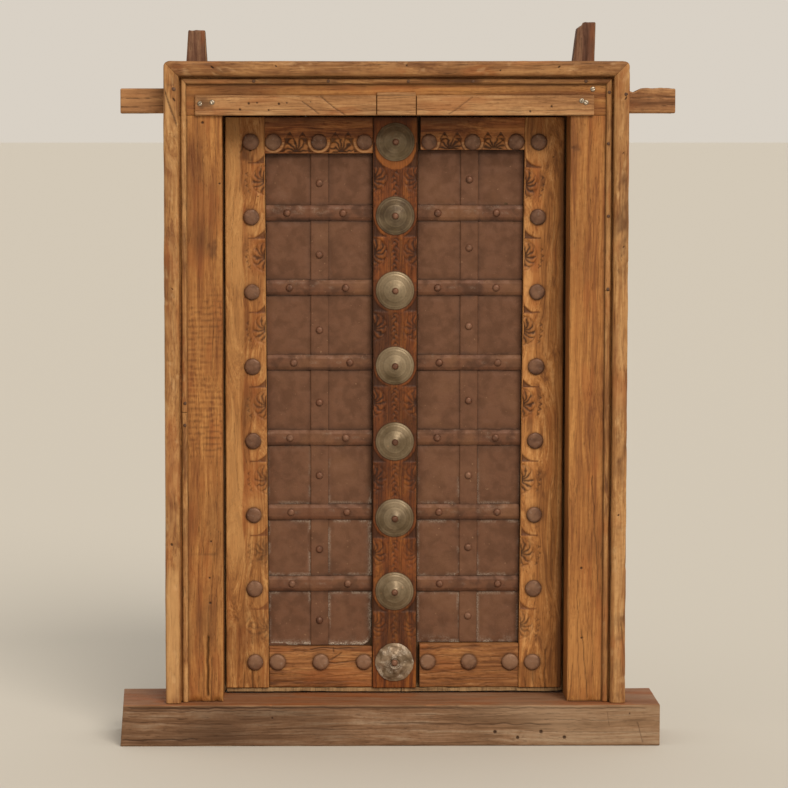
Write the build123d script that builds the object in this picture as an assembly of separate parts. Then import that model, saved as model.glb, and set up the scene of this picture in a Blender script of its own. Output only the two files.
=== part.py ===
from build123d import *

import math
import os

# A traditional hardwood window with its pair of leaves. Sill, jambs and head are tenoned together,
# and their tenons and horns run out to be built into a wall. Each leaf is boarded with planks that
# turn on round pintles, is faced with sheet iron, straps and forged nails, and is edged by carved
# stiles and rails. The left leaf carries a cover strip with turned brass bosses.
# Sizes are in millimetres. X runs right, Y runs back into the room and Z runs up. The origin is on
# the underside of the sill, half way through its depth, on the centre line of the opening.

# Opening and frame timbers
OPENING_WIDTH = 694.0
OPENING_HEIGHT = 1179.0
JAMB_WIDTH = 116.0
HEAD_HEIGHT = 108.0
FRAME_DEPTH = 150.0
REBATE_DEPTH = 40.0
REBATE_RISE = 25.0
REBATE_SIDE_CLEARANCE = 4.0

# Sill
SILL_HEIGHT = 84.0
SILL_DEPTH = 196.0
SILL_PAST_FRAME_LEFT = 90.0
SILL_PAST_FRAME_RIGHT = 68.0
FRAME_SETBACK = 40.0

# Tenons and horns
TENON_WIDTH = 43.0
TENON_DEPTH = 45.0
TENON_SETBACK = 50.0
TENON_FOOT_LENGTH = 40.0
TENON_INSET_LEFT = 30.0
TENON_INSET_RIGHT = 15.0
JAMB_HORN_LEFT = 64.0
JAMB_HORN_RIGHT = 80.0
JAMB_HORN_TAPER = 4.0
HEAD_HORN_LEFT = 88.0
HEAD_HORN_RIGHT = 98.0
HEAD_HORN_HEIGHT = 51.0
HEAD_HORN_DEPTH = 65.0
HEAD_HORN_SETBACK = 45.0
HEAD_HORN_RISE = 4.0

# Decay at the left jamb's foot
DECAY_DEPTH = 14.0
DECAY_HEIGHT = 6.0
SPLIT_WIDTH = 3.0
SPLIT_HEIGHT = 92.0
SPLIT_DEPTH = 25.0
SPLIT_INSET = 30.0

# Mouldings and batten on the frame's face
MOULDING_WIDTH = 29.0
MOULDING_PROUD = 24.0
MOULDING_ROUND = 11.0
BEAD_WIDTH = 12.0
BEAD_PROUD = 9.0
BEAD_ROUND = 5.0
BEAD_GAP = 5.0
BEAD_JOINT_RISE_LEFT = 587.0
BEAD_JOINT_RISE_RIGHT = 830.0
BEAD_JOINT_GAP = 0.8
BATTEN_HEIGHT = 40.0
BATTEN_PROUD = 8.0
BATTEN_PAST_OPENING_LEFT = 53.0
BATTEN_PAST_OPENING_RIGHT = 46.0
BATTEN_LINE_RISE = 9.0
BATTEN_LINE_WIDTH = 2.0
BATTEN_LINE_DEPTH = 1.2
BLOCK_WIDTH = 82.0
BLOCK_RISE = 6.0
BLOCK_PROUD = 9.0
BLOCK_GROOVE = 3.0

# Planks and pintles
PIVOT_OUTSET = 8.0
PINTLE_RADIUS = 12.0
PINTLE_LENGTH = 40.0
SOCKET_CLEARANCE = 0.6
SOCKET_END_GAP = 0.3
PLANK_THICKNESS = 26.0
PLANK_CLEARANCE = 2.0
PLANK_JOINT = 0.4
HANGING_PLANK_WIDTH = 175.0
FOOT_GAP = 3.0
HEAD_GAP = 3.0
MEETING_OFFSET = 14.0
MEETING_GAP = 3.0

# Ledges across the backs of the leaves
LEDGE_THICKNESS = 14.0
LEDGE_HEIGHT = 60.0
LEDGE_INSET = 40.0
LEDGE_CHAMFER = 4.0

# Stiles, rails and cover strip on the faces of the leaves
FACE_FOOT_RISE = 9.0
STILE_GAP = 4.0
STILE_THICKNESS = 20.0
STILE_WIDTH_TOP = 80.0
STILE_WIDTH_FOOT = 88.0
RAIL_THICKNESS = 18.0
TOP_RAIL_LEFT = 73.0
TOP_RAIL_RIGHT = 66.0
FOOT_RAIL_LEFT = 85.0
FOOT_RAIL_RIGHT = 91.0
COVER_THICKNESS = 22.0
COVER_REACH = 44.0
COVER_LAP = 46.0
LAP_GAP = 6.0
LAP_CLEARANCE = 0.5
FACE_JOINT = 0.4

# Rows of fixings, counted from the foot, with the small misplacings of hand work
ROWS = 8
FIRST_ROW_RISE = 53.0
LAST_ROW_DROP = 50.0
BOSS_SHIFTS = (0.0, -5.0, -6.0, -1.0, 2.0, 3.0, 3.0, 0.0)
STRAP_SHIFTS = (8.0, 4.0, 5.0, 7.0, 8.0, 8.0)
CELL_SHIFTS_LEFT = (-12.0, -3.0, -1.0, -5.0, -10.0, -9.0, 0.0)
CELL_SHIFTS_RIGHT = (-6.0, 1.0, -1.0, -1.0, -2.0, 5.0, 4.0)
STRAP_NAILS_LEFT = (104.0, 218.0)
STRAP_NAILS_RIGHT = (88.0, 207.0)
NAIL_SHIFTS_LEFT = (-10.0, -8.0, -6.0, -14.0, -5.0, 0.0)
NAIL_SHIFTS_RIGHT = (6.0, 4.0, 0.0, 4.0, 0.0, 0.0)

# Carved bays between the rows
CARVING_DEPTH = 4.0
LEAF_RELIEF = 3.3
LEAF_ROOT = 0.2
LEAF_WIDTH = 7.0
LEAF_START = 4.0
LEAF_TURNS = (-68.0, -41.0, -14.0, 14.0, 41.0, 68.0)
LEAF_LENGTHS = (27.0, 25.0, 22.0, 22.0, 25.0, 27.0)
STILE_BAY_WIDTH = 30.0
STILE_LOBE_INSET = 46.0
STILE_LOBE_RADIUS = 48.7
RAIL_BAY_WIDTH = 25.0
RAIL_LOBE_RADIUS = 26.0
COVER_BAY_WIDTH = 26.0
COVER_BAY_HALF = 35.0
COVER_FILLET = 3.0

# Sheet iron and straps
SHEET_THICKNESS = 1.2
SHEET_CORNER = 24.0
STRIP_CENTRE = 152.0
STRIP_WIDTH = 36.0
STRAP_HEIGHT = 34.0
STRAP_BULGE = 4.5
STRAP_CREST = 17.0
STRAP_SHOULDER_HEIGHT = 25.0
STRAP_SHOULDER_BULGE = 3.2

# Forged nails
STUD_RADIUS = 17.0
STUD_RIM = 2.5
STUD_HEIGHT = 5.5
STUD_CROWN_RADIUS = 9.0
STUD_SIDES = 9
STUD_INSET = 28.5
RAIL_STUD_GAP = 0.3
DOME_RADIUS = 8.0
DOME_HEIGHT = 5.0
DOME_CROWN_RADIUS = 4.2
DOME_SIDES = 7
SHANK_WIDTH = 4.5
SHANK_BITE = 20.0

# Brass bosses and their nails
BOSS_RADIUS = 39.0
BOSS_HEIGHT = 20.0
CRUSHED_BOSS_HEIGHT = 13.0
BOSS_STEPS = ((1.0, 0.12), (0.76, 0.36), (0.72, 0.52), (0.42, 0.80), (0.2, 1.0))
BOSS_SIDES = 24
BOSS_NAIL_RADIUS = 7.5
BOSS_NAIL_HEIGHT = 6.0
BOSS_NAIL_CROWN_RADIUS = 4.5

# Places worked out from the sizes above
HALF_OPENING = OPENING_WIDTH / 2
HALF_FRAME = HALF_OPENING + JAMB_WIDTH
SILL_FRONT = -SILL_DEPTH / 2
FACE_Y = SILL_FRONT + FRAME_SETBACK
BACK_Y = FACE_Y + FRAME_DEPTH
REBATE_Y = BACK_Y - REBATE_DEPTH
SOFFIT_Z = SILL_HEIGHT + OPENING_HEIGHT
HEAD_TOP = SOFFIT_Z + HEAD_HEIGHT
REBATE_TOP = SOFFIT_Z + REBATE_RISE
TENON_Y = FACE_Y + TENON_SETBACK

PLANK_FRONT = REBATE_Y + PLANK_CLEARANCE
PLANK_BACK = PLANK_FRONT + PLANK_THICKNESS
PIVOT_X = HALF_OPENING + PIVOT_OUTSET
PIVOT_Y = PLANK_FRONT + PLANK_THICKNESS / 2
REBATE_X = PIVOT_X + PLANK_THICKNESS / 2 + REBATE_SIDE_CLEARANCE
PLANK_FOOT = SILL_HEIGHT + FOOT_GAP
PLANK_TOP = REBATE_TOP - HEAD_GAP
FACE_FOOT = PLANK_FOOT + FACE_FOOT_RISE
FACE_TOP = SOFFIT_Z - HEAD_GAP
STILE_OUTER = HALF_OPENING - STILE_GAP
STILE_FRONT = PLANK_FRONT - STILE_THICKNESS
RAIL_FRONT = PLANK_FRONT - RAIL_THICKNESS
COVER_FRONT = PLANK_FRONT - COVER_THICKNESS
COVER_CENTRE = (COVER_LAP - COVER_REACH) / 2
SHEET_FRONT = PLANK_FRONT - SHEET_THICKNESS
STRIP_FRONT = SHEET_FRONT - SHEET_THICKNESS
STRAP_FRONT = SHEET_FRONT - STRAP_BULGE

FIRST_ROW = FACE_FOOT + FIRST_ROW_RISE
LAST_ROW = FACE_TOP - LAST_ROW_DROP
ROW_PITCH = (LAST_ROW - FIRST_ROW) / (ROWS - 1)
ROW_HEIGHTS = [FIRST_ROW + ROW_PITCH * row for row in range(ROWS)]
LEDGE_HEIGHTS = [ROW_HEIGHTS[row] for row in (0, 2, ROWS - 3, ROWS - 1)]
BOSS_HEIGHTS = [z + shift for z, shift in zip(ROW_HEIGHTS, BOSS_SHIFTS)]
STRAP_HEIGHTS = [z + shift for z, shift in zip(ROW_HEIGHTS[1:-1], STRAP_SHIFTS)]

# What differs between the leaves. Distances are from the centre line, outwards on the leaf's side.
LEFT_LEAF = {
    "name": "left",
    "side": -1,
    "plank_edge": -(MEETING_OFFSET - MEETING_GAP / 2),
    "panel_edge": COVER_REACH,
    "top_rail": TOP_RAIL_LEFT,
    "foot_rail": FOOT_RAIL_LEFT,
    "nail_places": STRAP_NAILS_LEFT,
    "nail_shifts": NAIL_SHIFTS_LEFT,
    "cell_shifts": CELL_SHIFTS_LEFT,
    "sheet_corner": SHEET_CORNER,
}
RIGHT_LEAF = {
    "name": "right",
    "side": 1,
    "plank_edge": MEETING_OFFSET + MEETING_GAP / 2,
    "panel_edge": COVER_LAP + LAP_GAP,
    "top_rail": TOP_RAIL_RIGHT,
    "foot_rail": FOOT_RAIL_RIGHT,
    "nail_places": STRAP_NAILS_RIGHT,
    "nail_shifts": NAIL_SHIFTS_RIGHT,
    "cell_shifts": CELL_SHIFTS_RIGHT,
    "sheet_corner": 0.0,
}


def block(x_range, y_range, z_range):
    """A squared timber between two places on each axis."""
    sizes = [high - low for low, high in (x_range, y_range, z_range)]
    centre = [(high + low) / 2 for low, high in (x_range, y_range, z_range)]
    return Pos(*centre) * Box(*sizes)


def face_plane(y):
    """A plane at depth y that looks out of the window's face: its own x and y are X and Z."""
    return Plane.XZ.offset(-y)


def slab(points, y_front, y_back):
    """A flat board whose outline is given in X and Z, anticlockwise from the front."""
    return extrude(face_plane(y_back) * Polygon(*points), y_back - y_front)


def on_face(piece, x, z, y):
    """Place a piece that points along its own +Z so that it stands out of the face at depth y."""
    return face_plane(y) * (Pos(x, z, 0) * piece)


def on_side(piece, side):
    """Pieces are drawn on the right and mirrored for the left."""
    return mirror(piece, about=Plane.YZ) if side < 0 else piece


def rounded_bar(x_range, z_range, proud, round_radius, lengthwise):
    """A bar on the frame's face with its two front edges rounded, lengthwise along Axis.X or Axis.Z."""
    bar = block(x_range, (FACE_Y - proud, FACE_Y), z_range)
    front = bar.faces().sort_by(Axis.Y)[0]
    return fillet(front.edges().filter_by(lengthwise), round_radius)


# Sill, jambs and head

def tenon_block(inset, z_range):
    """The tenon of a right-hand jamb, at its inset from the opening."""
    start = HALF_OPENING + inset
    return block((start, start + TENON_WIDTH), (TENON_Y, TENON_Y + TENON_DEPTH), z_range)


def foot_tenon(side, inset):
    return on_side(tenon_block(inset, (SILL_HEIGHT - TENON_FOOT_LENGTH, SILL_HEIGHT)), side)


def head_tenon(side, inset):
    return on_side(tenon_block(inset, (SOFFIT_Z, HEAD_TOP)), side)


def socket(side, z_range):
    """The round hole that a pintle turns in."""
    depth = z_range[1] - z_range[0]
    hole = Cylinder(PINTLE_RADIUS + SOCKET_CLEARANCE, depth)
    return Pos(side * PIVOT_X, PIVOT_Y, (z_range[0] + z_range[1]) / 2) * hole


def sill_beam():
    ends = (-HALF_FRAME - SILL_PAST_FRAME_LEFT, HALF_FRAME + SILL_PAST_FRAME_RIGHT)
    sill = block(ends, (SILL_FRONT, -SILL_FRONT), (0, SILL_HEIGHT))
    floor = PLANK_FOOT - PINTLE_LENGTH - SOCKET_END_GAP
    cuts = [foot_tenon(-1, TENON_INSET_LEFT), foot_tenon(1, TENON_INSET_RIGHT)]
    cuts += [socket(side, (floor, SILL_HEIGHT)) for side in (-1, 1)]
    return sill - cuts


def horn(inset, rise):
    """The part of a jamb's tenon above the head, a little narrower at its top."""
    start = HALF_OPENING + inset
    outline = [
        (start, HEAD_TOP),
        (start + TENON_WIDTH, HEAD_TOP),
        (start + TENON_WIDTH - JAMB_HORN_TAPER, HEAD_TOP + rise),
        (start + JAMB_HORN_TAPER, HEAD_TOP + rise),
    ]
    return slab(outline, TENON_Y, TENON_Y + TENON_DEPTH)


def jamb(side, inset, horn_rise):
    """A jamb with its rebate, its foot tenon and the tenon that runs up through the head."""
    post = block((HALF_OPENING, HALF_FRAME), (FACE_Y, BACK_Y), (SILL_HEIGHT, SOFFIT_Z))
    post -= block((HALF_OPENING, REBATE_X), (REBATE_Y, BACK_Y), (SILL_HEIGHT, SOFFIT_Z))
    post += tenon_block(inset, (SILL_HEIGHT - TENON_FOOT_LENGTH, SILL_HEIGHT))
    post += tenon_block(inset, (SOFFIT_Z, HEAD_TOP))
    post += horn(inset, horn_rise)
    return on_side(post, side)


def foot_decay():
    """The rotted arris and the split at the foot of the left jamb's face."""
    inner = -HALF_OPENING
    face_edge = inner - JAMB_WIDTH + MOULDING_WIDTH + BEAD_GAP + BEAD_WIDTH
    arris_profile = [
        (FACE_Y, SILL_HEIGHT),
        (FACE_Y + DECAY_DEPTH, SILL_HEIGHT),
        (FACE_Y, SILL_HEIGHT + DECAY_HEIGHT),
    ]
    arris = extrude(Plane.YZ.offset(face_edge) * Polygon(*arris_profile), inner - face_edge)
    split_x = inner - SPLIT_INSET
    split_outline = [
        (split_x - SPLIT_WIDTH / 2, SILL_HEIGHT),
        (split_x + SPLIT_WIDTH / 2, SILL_HEIGHT),
        (split_x, SILL_HEIGHT + SPLIT_HEIGHT),
    ]
    return [arris, slab(split_outline, FACE_Y, FACE_Y + SPLIT_DEPTH)]


def jamb_left():
    return jamb(-1, TENON_INSET_LEFT, JAMB_HORN_LEFT) - foot_decay()


def jamb_right():
    return jamb(1, TENON_INSET_RIGHT, JAMB_HORN_RIGHT)


def head_beam():
    """The head with its end horns, mortises for the jambs, rebate and pintle sockets."""
    head = block((-HALF_FRAME, HALF_FRAME), (FACE_Y, BACK_Y), (SOFFIT_Z, HEAD_TOP))
    horn_y = (FACE_Y + HEAD_HORN_SETBACK, FACE_Y + HEAD_HORN_SETBACK + HEAD_HORN_DEPTH)
    horn_z = (SOFFIT_Z + HEAD_HORN_RISE, SOFFIT_Z + HEAD_HORN_RISE + HEAD_HORN_HEIGHT)
    head += block((-HALF_FRAME - HEAD_HORN_LEFT, HALF_FRAME + HEAD_HORN_RIGHT), horn_y, horn_z)
    cuts = [head_tenon(-1, TENON_INSET_LEFT), head_tenon(1, TENON_INSET_RIGHT)]
    cuts.append(block((-REBATE_X, REBATE_X), (REBATE_Y, BACK_Y), (SOFFIT_Z, REBATE_TOP)))
    socket_top = PLANK_TOP + PINTLE_LENGTH + SOCKET_END_GAP
    cuts += [socket(side, (REBATE_TOP, socket_top)) for side in (-1, 1)]
    return head - cuts


# Mouldings and batten

def mitred_upright(side, inset, width, proud, round_radius, z_range):
    """An upright bar whose top meets the top bar in a mitre if it reaches that far."""
    outer = HALF_FRAME - inset
    top = HEAD_TOP - inset
    bar = rounded_bar((outer - width, outer), z_range, proud, round_radius, Axis.Z)
    mitre = [
        (outer - width, z_range[0]),
        (outer, z_range[0]),
        (outer, top),
        (outer - width, top - width),
    ]
    return on_side(bar & slab(mitre, FACE_Y - proud, FACE_Y), side)


def mitred_top(inset, width, proud, round_radius):
    outer = HALF_FRAME - inset
    top = HEAD_TOP - inset
    bar = rounded_bar((-outer, outer), (top - width, top), proud, round_radius, Axis.X)
    mitre = [(-outer + width, top - width), (outer - width, top - width), (outer, top), (-outer, top)]
    return bar & slab(mitre, FACE_Y - proud, FACE_Y)


BEAD_INSET = MOULDING_WIDTH + BEAD_GAP


def outer_moulding(side):
    z_range = (SILL_HEIGHT, HEAD_TOP)
    return mitred_upright(side, 0, MOULDING_WIDTH, MOULDING_PROUD, MOULDING_ROUND, z_range)


def inner_bead(side, z_range):
    return mitred_upright(side, BEAD_INSET, BEAD_WIDTH, BEAD_PROUD, BEAD_ROUND, z_range)


def batten_strip(x_range):
    """A strip along the head's lower edge with a scratched line above its arris."""
    y_range = (FACE_Y - BATTEN_PROUD, FACE_Y)
    strip = block(x_range, y_range, (SOFFIT_Z, SOFFIT_Z + BATTEN_HEIGHT))
    line_z = SOFFIT_Z + BATTEN_LINE_RISE
    line_y = (FACE_Y - BATTEN_PROUD, FACE_Y - BATTEN_PROUD + BATTEN_LINE_DEPTH)
    return strip - block(x_range, line_y, (line_z, line_z + BATTEN_LINE_WIDTH))


def centre_block():
    half = BLOCK_WIDTH / 2 - BLOCK_GROOVE
    z_range = (SOFFIT_Z, SOFFIT_Z + BATTEN_HEIGHT + BLOCK_RISE)
    piece = block((-half, half), (FACE_Y - BLOCK_PROUD, FACE_Y), z_range)
    line_z = SOFFIT_Z + BATTEN_LINE_RISE
    line_y = (FACE_Y - BLOCK_PROUD, FACE_Y - BLOCK_PROUD + BATTEN_LINE_DEPTH)
    return piece - block((-half, half), line_y, (line_z, line_z + BATTEN_LINE_WIDTH))


# Forged nails

def faceted_solid(rings):
    """A closed solid with flat faces through rings of points, each ring listed from below to above."""
    faces = [Face(Wire.make_polygon(rings[0])), Face(Wire.make_polygon(rings[-1]))]
    for lower, upper in zip(rings, rings[1:]):
        for here in range(len(lower)):
            after = (here + 1) % len(lower)
            faces.append(Face(Wire.make_polygon([lower[here], lower[after], upper[after], upper[here]])))
    return Solid(Shell(faces))


def round_ring(radius, height, sides):
    turns = [2 * math.pi * side / sides for side in range(sides)]
    return [(radius * math.cos(turn), radius * math.sin(turn), height) for turn in turns]


def forged_nail(profile, sides, shank_length):
    """A nail with a hammered, many-sided head on the plane z = 0 and a square shank below it."""
    head = faceted_solid([round_ring(radius, height, sides) for radius, height in profile])
    shank = Pos(0, 0, -shank_length / 2) * Box(SHANK_WIDTH, SHANK_WIDTH, shank_length)
    return Part() + [head, shank]


def stud(x, z, y_face):
    """A large flat nail through a stile or rail and into the plank behind it."""
    profile = [(STUD_RADIUS, 0), (STUD_RADIUS, STUD_RIM), (STUD_CROWN_RADIUS, STUD_HEIGHT)]
    length = PLANK_FRONT - y_face + SHANK_BITE
    return on_face(forged_nail(profile, STUD_SIDES, length), x, z, y_face)


def dome_nail(x, z, y_seat):
    """A small domed nail that holds the iron to the planks."""
    profile = [(DOME_RADIUS, 0), (DOME_CROWN_RADIUS, DOME_HEIGHT)]
    length = PLANK_FRONT - y_seat + SHANK_BITE
    return on_face(forged_nail(profile, DOME_SIDES, length), x, z, y_seat)


# Shape of a leaf, drawn on the right-hand side

def stile_edge(z):
    """Distance of a stile's inner edge from the centre line: the stile widens towards its foot."""
    share = (z - FACE_FOOT) / (FACE_TOP - FACE_FOOT)
    width = STILE_WIDTH_FOOT + (STILE_WIDTH_TOP - STILE_WIDTH_FOOT) * share
    return STILE_OUTER - width


def panel_heights(leaf):
    """Lowest and highest place of the iron between the rails."""
    return FACE_FOOT + leaf["foot_rail"], FACE_TOP - leaf["top_rail"]


def panel_outline(leaf, low, high, clearance):
    """The space between cover strip and stile, from low to high, held back by a clearance."""
    edge = leaf["panel_edge"] + clearance
    return [
        (edge, low),
        (stile_edge(low) - clearance, low),
        (stile_edge(high) - clearance, high),
        (edge, high),
    ]


def hanging_plank():
    """The plank with the pintles: its hanging edge is rounded about the axis that it turns on."""
    edge = PIVOT_X - HANGING_PLANK_WIDTH
    plank = block((edge, PIVOT_X), (PLANK_FRONT, PLANK_BACK), (PLANK_FOOT, PLANK_TOP))
    middle = (PLANK_FOOT + PLANK_TOP) / 2
    plank += Pos(PIVOT_X, PIVOT_Y, middle) * Cylinder(PLANK_THICKNESS / 2, PLANK_TOP - PLANK_FOOT)
    for start in (PLANK_FOOT - PINTLE_LENGTH, PLANK_TOP):
        plank += Pos(PIVOT_X, PIVOT_Y, start + PINTLE_LENGTH / 2) * Cylinder(PINTLE_RADIUS, PINTLE_LENGTH)
    return plank


def inner_plank(leaf):
    edge = PIVOT_X - HANGING_PLANK_WIDTH - PLANK_JOINT
    return block((leaf["plank_edge"], edge), (PLANK_FRONT, PLANK_BACK), (PLANK_FOOT, PLANK_TOP))


def ledges(leaf):
    """Cross pieces on the planks' backs, at some of the nail rows, with their arrises taken off."""
    pieces = []
    for middle in LEDGE_HEIGHTS:
        ledge = block(
            (leaf["plank_edge"] + LEDGE_INSET / 2, PIVOT_X - LEDGE_INSET),
            (PLANK_BACK, PLANK_BACK + LEDGE_THICKNESS),
            (middle - LEDGE_HEIGHT / 2, middle + LEDGE_HEIGHT / 2),
        )
        back = ledge.faces().sort_by(Axis.Y)[-1]
        pieces.append(chamfer(back.edges(), LEDGE_CHAMFER))
    return pieces


# Carving

def carved_leaf(turn, length):
    """A pointed leaf that leans by turn degrees, with four sloped sides up to its crest."""
    middle = (LEAF_START + length) / 2
    half = LEAF_WIDTH / 2
    across, along = math.cos(math.radians(turn)), math.sin(math.radians(turn))
    outline = [(0, LEAF_START), (half, middle), (0, length), (-half, middle)]
    root = [(x * across + y * along, y * across - x * along, -LEAF_ROOT) for x, y in outline]
    crest = (middle * along, middle * across, LEAF_RELIEF)
    sides = [Wire.make_polygon([here, after, crest]) for here, after in zip(root, root[1:] + root[:1])]
    return Solid(Shell([Face(Wire.make_polygon(root))] + [Face(side) for side in sides]))


def palmette(bay_width):
    """A fan of leaves in a bay, sized to the bay's width."""
    size = bay_width / STILE_BAY_WIDTH
    return [carved_leaf(turn, length * size) for turn, length in zip(LEAF_TURNS, LEAF_LENGTHS)]


def bay_plane(x, z, y_face, along):
    """A plane on the face whose own x runs along a piece's edge and whose own y runs into the piece."""
    return Plane(origin=(x, y_face, z), x_dir=along, z_dir=(0, -1, 0))


def carved_bay(plane, outline, bay_width):
    """The sunk ground of a bay, and the leaves that stand on it."""
    ground = extrude(plane * outline, -CARVING_DEPTH)
    floor = plane.offset(-CARVING_DEPTH)
    return ground, [floor * piece for piece in palmette(bay_width)]


def lobed_outline(half_pitch, bay_width, lobe_inset, lobe_radius):
    """A bay between two fixings, each of which stands on a round lobe of the full surface."""
    ground = Pos(0, bay_width / 2) * Rectangle(2 * half_pitch, bay_width)
    for place in (-half_pitch, half_pitch):
        ground -= Pos(place, lobe_inset) * Circle(lobe_radius)
    return ground


def carve(piece, bays):
    """Sink each bay's ground and leave its leaves standing."""
    piece = piece - [ground for ground, leaves in bays]
    return piece + [leaf for ground, leaves in bays for leaf in leaves]


def stile():
    """The hanging stile's face, carved along its inner edge between the nails."""
    outline = [
        (stile_edge(FACE_FOOT), FACE_FOOT),
        (STILE_OUTER, FACE_FOOT),
        (STILE_OUTER, FACE_TOP),
        (stile_edge(FACE_TOP), FACE_TOP),
    ]
    board = slab(outline, STILE_FRONT, PLANK_FRONT)
    bays = []
    for low, high in zip(ROW_HEIGHTS, ROW_HEIGHTS[1:]):
        middle = (low + high) / 2
        plane = bay_plane(stile_edge(middle), middle, STILE_FRONT, (0, 0, -1))
        shape = lobed_outline(ROW_PITCH / 2, STILE_BAY_WIDTH, STILE_LOBE_INSET, STILE_LOBE_RADIUS)
        bays.append(carved_bay(plane, shape, STILE_BAY_WIDTH))
    return carve(board, bays)


def stile_studs():
    return [stud(stile_edge(z) + STUD_INSET, z, STILE_FRONT) for z in ROW_HEIGHTS]


def rail_stud_places(leaf, z):
    """The nails at a rail's two ends and middle."""
    inset = STUD_RADIUS + RAIL_STUD_GAP
    start = leaf["panel_edge"] + inset
    end = stile_edge(z) - inset
    return [start, (start + end) / 2, end]


def rail_studs(leaf):
    pieces = []
    for z in (ROW_HEIGHTS[0], ROW_HEIGHTS[-1]):
        pieces += [stud(x, z, RAIL_FRONT) for x in rail_stud_places(leaf, z)]
    return pieces


def foot_rail(leaf):
    low = FACE_FOOT
    high = FACE_FOOT + leaf["foot_rail"]
    return slab(panel_outline(leaf, low, high, FACE_JOINT / 2), RAIL_FRONT, PLANK_FRONT)


def top_rail(leaf):
    """The top rail, carved along its lower edge between its three nails."""
    low = FACE_TOP - leaf["top_rail"]
    board = slab(panel_outline(leaf, low, FACE_TOP, FACE_JOINT / 2), RAIL_FRONT, PLANK_FRONT)
    row = ROW_HEIGHTS[-1]
    places = rail_stud_places(leaf, row)
    bays = []
    for first, second in zip(places, places[1:]):
        plane = bay_plane((first + second) / 2, low, RAIL_FRONT, (1, 0, 0))
        shape = lobed_outline((second - first) / 2, RAIL_BAY_WIDTH, row - low, RAIL_LOBE_RADIUS)
        bays.append(carved_bay(plane, shape, RAIL_BAY_WIDTH))
    return carve(board, bays)


def cover_strip():
    """The strip that covers the meeting of the leaves, carved along both edges between the bosses."""
    board = block((-COVER_REACH, COVER_LAP), (COVER_FRONT, PLANK_FRONT), (FACE_FOOT, FACE_TOP))
    relief_y = (PLANK_FRONT - LAP_CLEARANCE, PLANK_FRONT)
    board -= block((MEETING_OFFSET, COVER_LAP), relief_y, (FACE_FOOT, FACE_TOP))
    ground_width = COVER_BAY_WIDTH - COVER_FILLET
    shape = Pos(0, COVER_FILLET + ground_width / 2) * Rectangle(2 * COVER_BAY_HALF, ground_width)
    bays = []
    for low, high in zip(BOSS_HEIGHTS, BOSS_HEIGHTS[1:]):
        middle = (low + high) / 2
        for edge, along in ((-COVER_REACH, (0, 0, -1)), (COVER_LAP, (0, 0, 1))):
            plane = bay_plane(edge, middle, COVER_FRONT, along)
            bays.append(carved_bay(plane, shape, COVER_BAY_WIDTH))
    return carve(board, bays)


# Iron facing

def iron_sheet(leaf):
    low, high = panel_heights(leaf)
    outline = Polygon(*panel_outline(leaf, low + FACE_JOINT, high - FACE_JOINT, FACE_JOINT))
    if leaf["sheet_corner"] > 0:
        corner = outline.vertices().sort_by(Axis.Y)[:2].sort_by(Axis.X)[0]
        outline = fillet(corner, leaf["sheet_corner"])
    return extrude(face_plane(PLANK_FRONT) * outline, SHEET_THICKNESS)


def centre_strip(leaf):
    low, high = panel_heights(leaf)
    x_range = (STRIP_CENTRE - STRIP_WIDTH / 2, STRIP_CENTRE + STRIP_WIDTH / 2)
    return block(x_range, (STRIP_FRONT, SHEET_FRONT), (low + FACE_JOINT, high - FACE_JOINT))


def strap_section():
    """A half-oval section in flats, with its back on the plane's own y axis."""
    half = [
        (0, STRAP_HEIGHT / 2),
        (-STRAP_SHOULDER_BULGE, STRAP_SHOULDER_HEIGHT / 2),
        (-STRAP_BULGE, STRAP_CREST / 2),
    ]
    return Polygon(*half, *[(x, -y) for x, y in reversed(half)])


def strap(leaf, z):
    """A half-oval strap across the panel, joggled over the centre strip."""
    start = leaf["panel_edge"] + FACE_JOINT
    length = stile_edge(z) - FACE_JOINT - start
    plane = Plane(origin=(start, SHEET_FRONT, z), x_dir=(0, 1, 0), z_dir=(1, 0, 0))
    bar = extrude(plane * strap_section(), length)
    return bar - centre_strip(leaf)


def strap_nails(leaf, row):
    """The two nails of one strap, on its flat crest."""
    z = STRAP_HEIGHTS[row]
    shift = leaf["nail_shifts"][row]
    return [dome_nail(x + shift, z, STRAP_FRONT) for x in leaf["nail_places"]]


def cell_nails(leaf):
    """One nail in the centre strip between each pair of straps and next to each rail."""
    low, high = panel_heights(leaf)
    borders = [low] + STRAP_HEIGHTS + [high]
    pieces = []
    for below, above, shift in zip(borders, borders[1:], leaf["cell_shifts"]):
        pieces.append(dome_nail(STRIP_CENTRE, (below + above) / 2 + shift, STRIP_FRONT))
    return pieces


# Bosses

def boss(height):
    """A turned brass boss: sloping bands between ridged steps, up to a flat for its nail."""
    profile = [(BOSS_RADIUS, 0)] + [(BOSS_RADIUS * reach, height * rise) for reach, rise in BOSS_STEPS]
    return faceted_solid([round_ring(radius, rise, BOSS_SIDES) for radius, rise in profile])


def boss_height(row):
    """The lowest boss is crushed nearly flat."""
    return CRUSHED_BOSS_HEIGHT if row == 0 else BOSS_HEIGHT


def boss_nail(row):
    y_seat = COVER_FRONT - boss_height(row)
    length = PLANK_FRONT - y_seat + SHANK_BITE
    profile = [(BOSS_NAIL_RADIUS, 0), (BOSS_NAIL_CROWN_RADIUS, BOSS_NAIL_HEIGHT)]
    nail = forged_nail(profile, DOME_SIDES, length)
    return on_face(nail, COVER_CENTRE, BOSS_HEIGHTS[row], y_seat)


def placed_boss(row):
    return on_face(boss(boss_height(row)), COVER_CENTRE, BOSS_HEIGHTS[row], COVER_FRONT)


# Putting the window together

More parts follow.
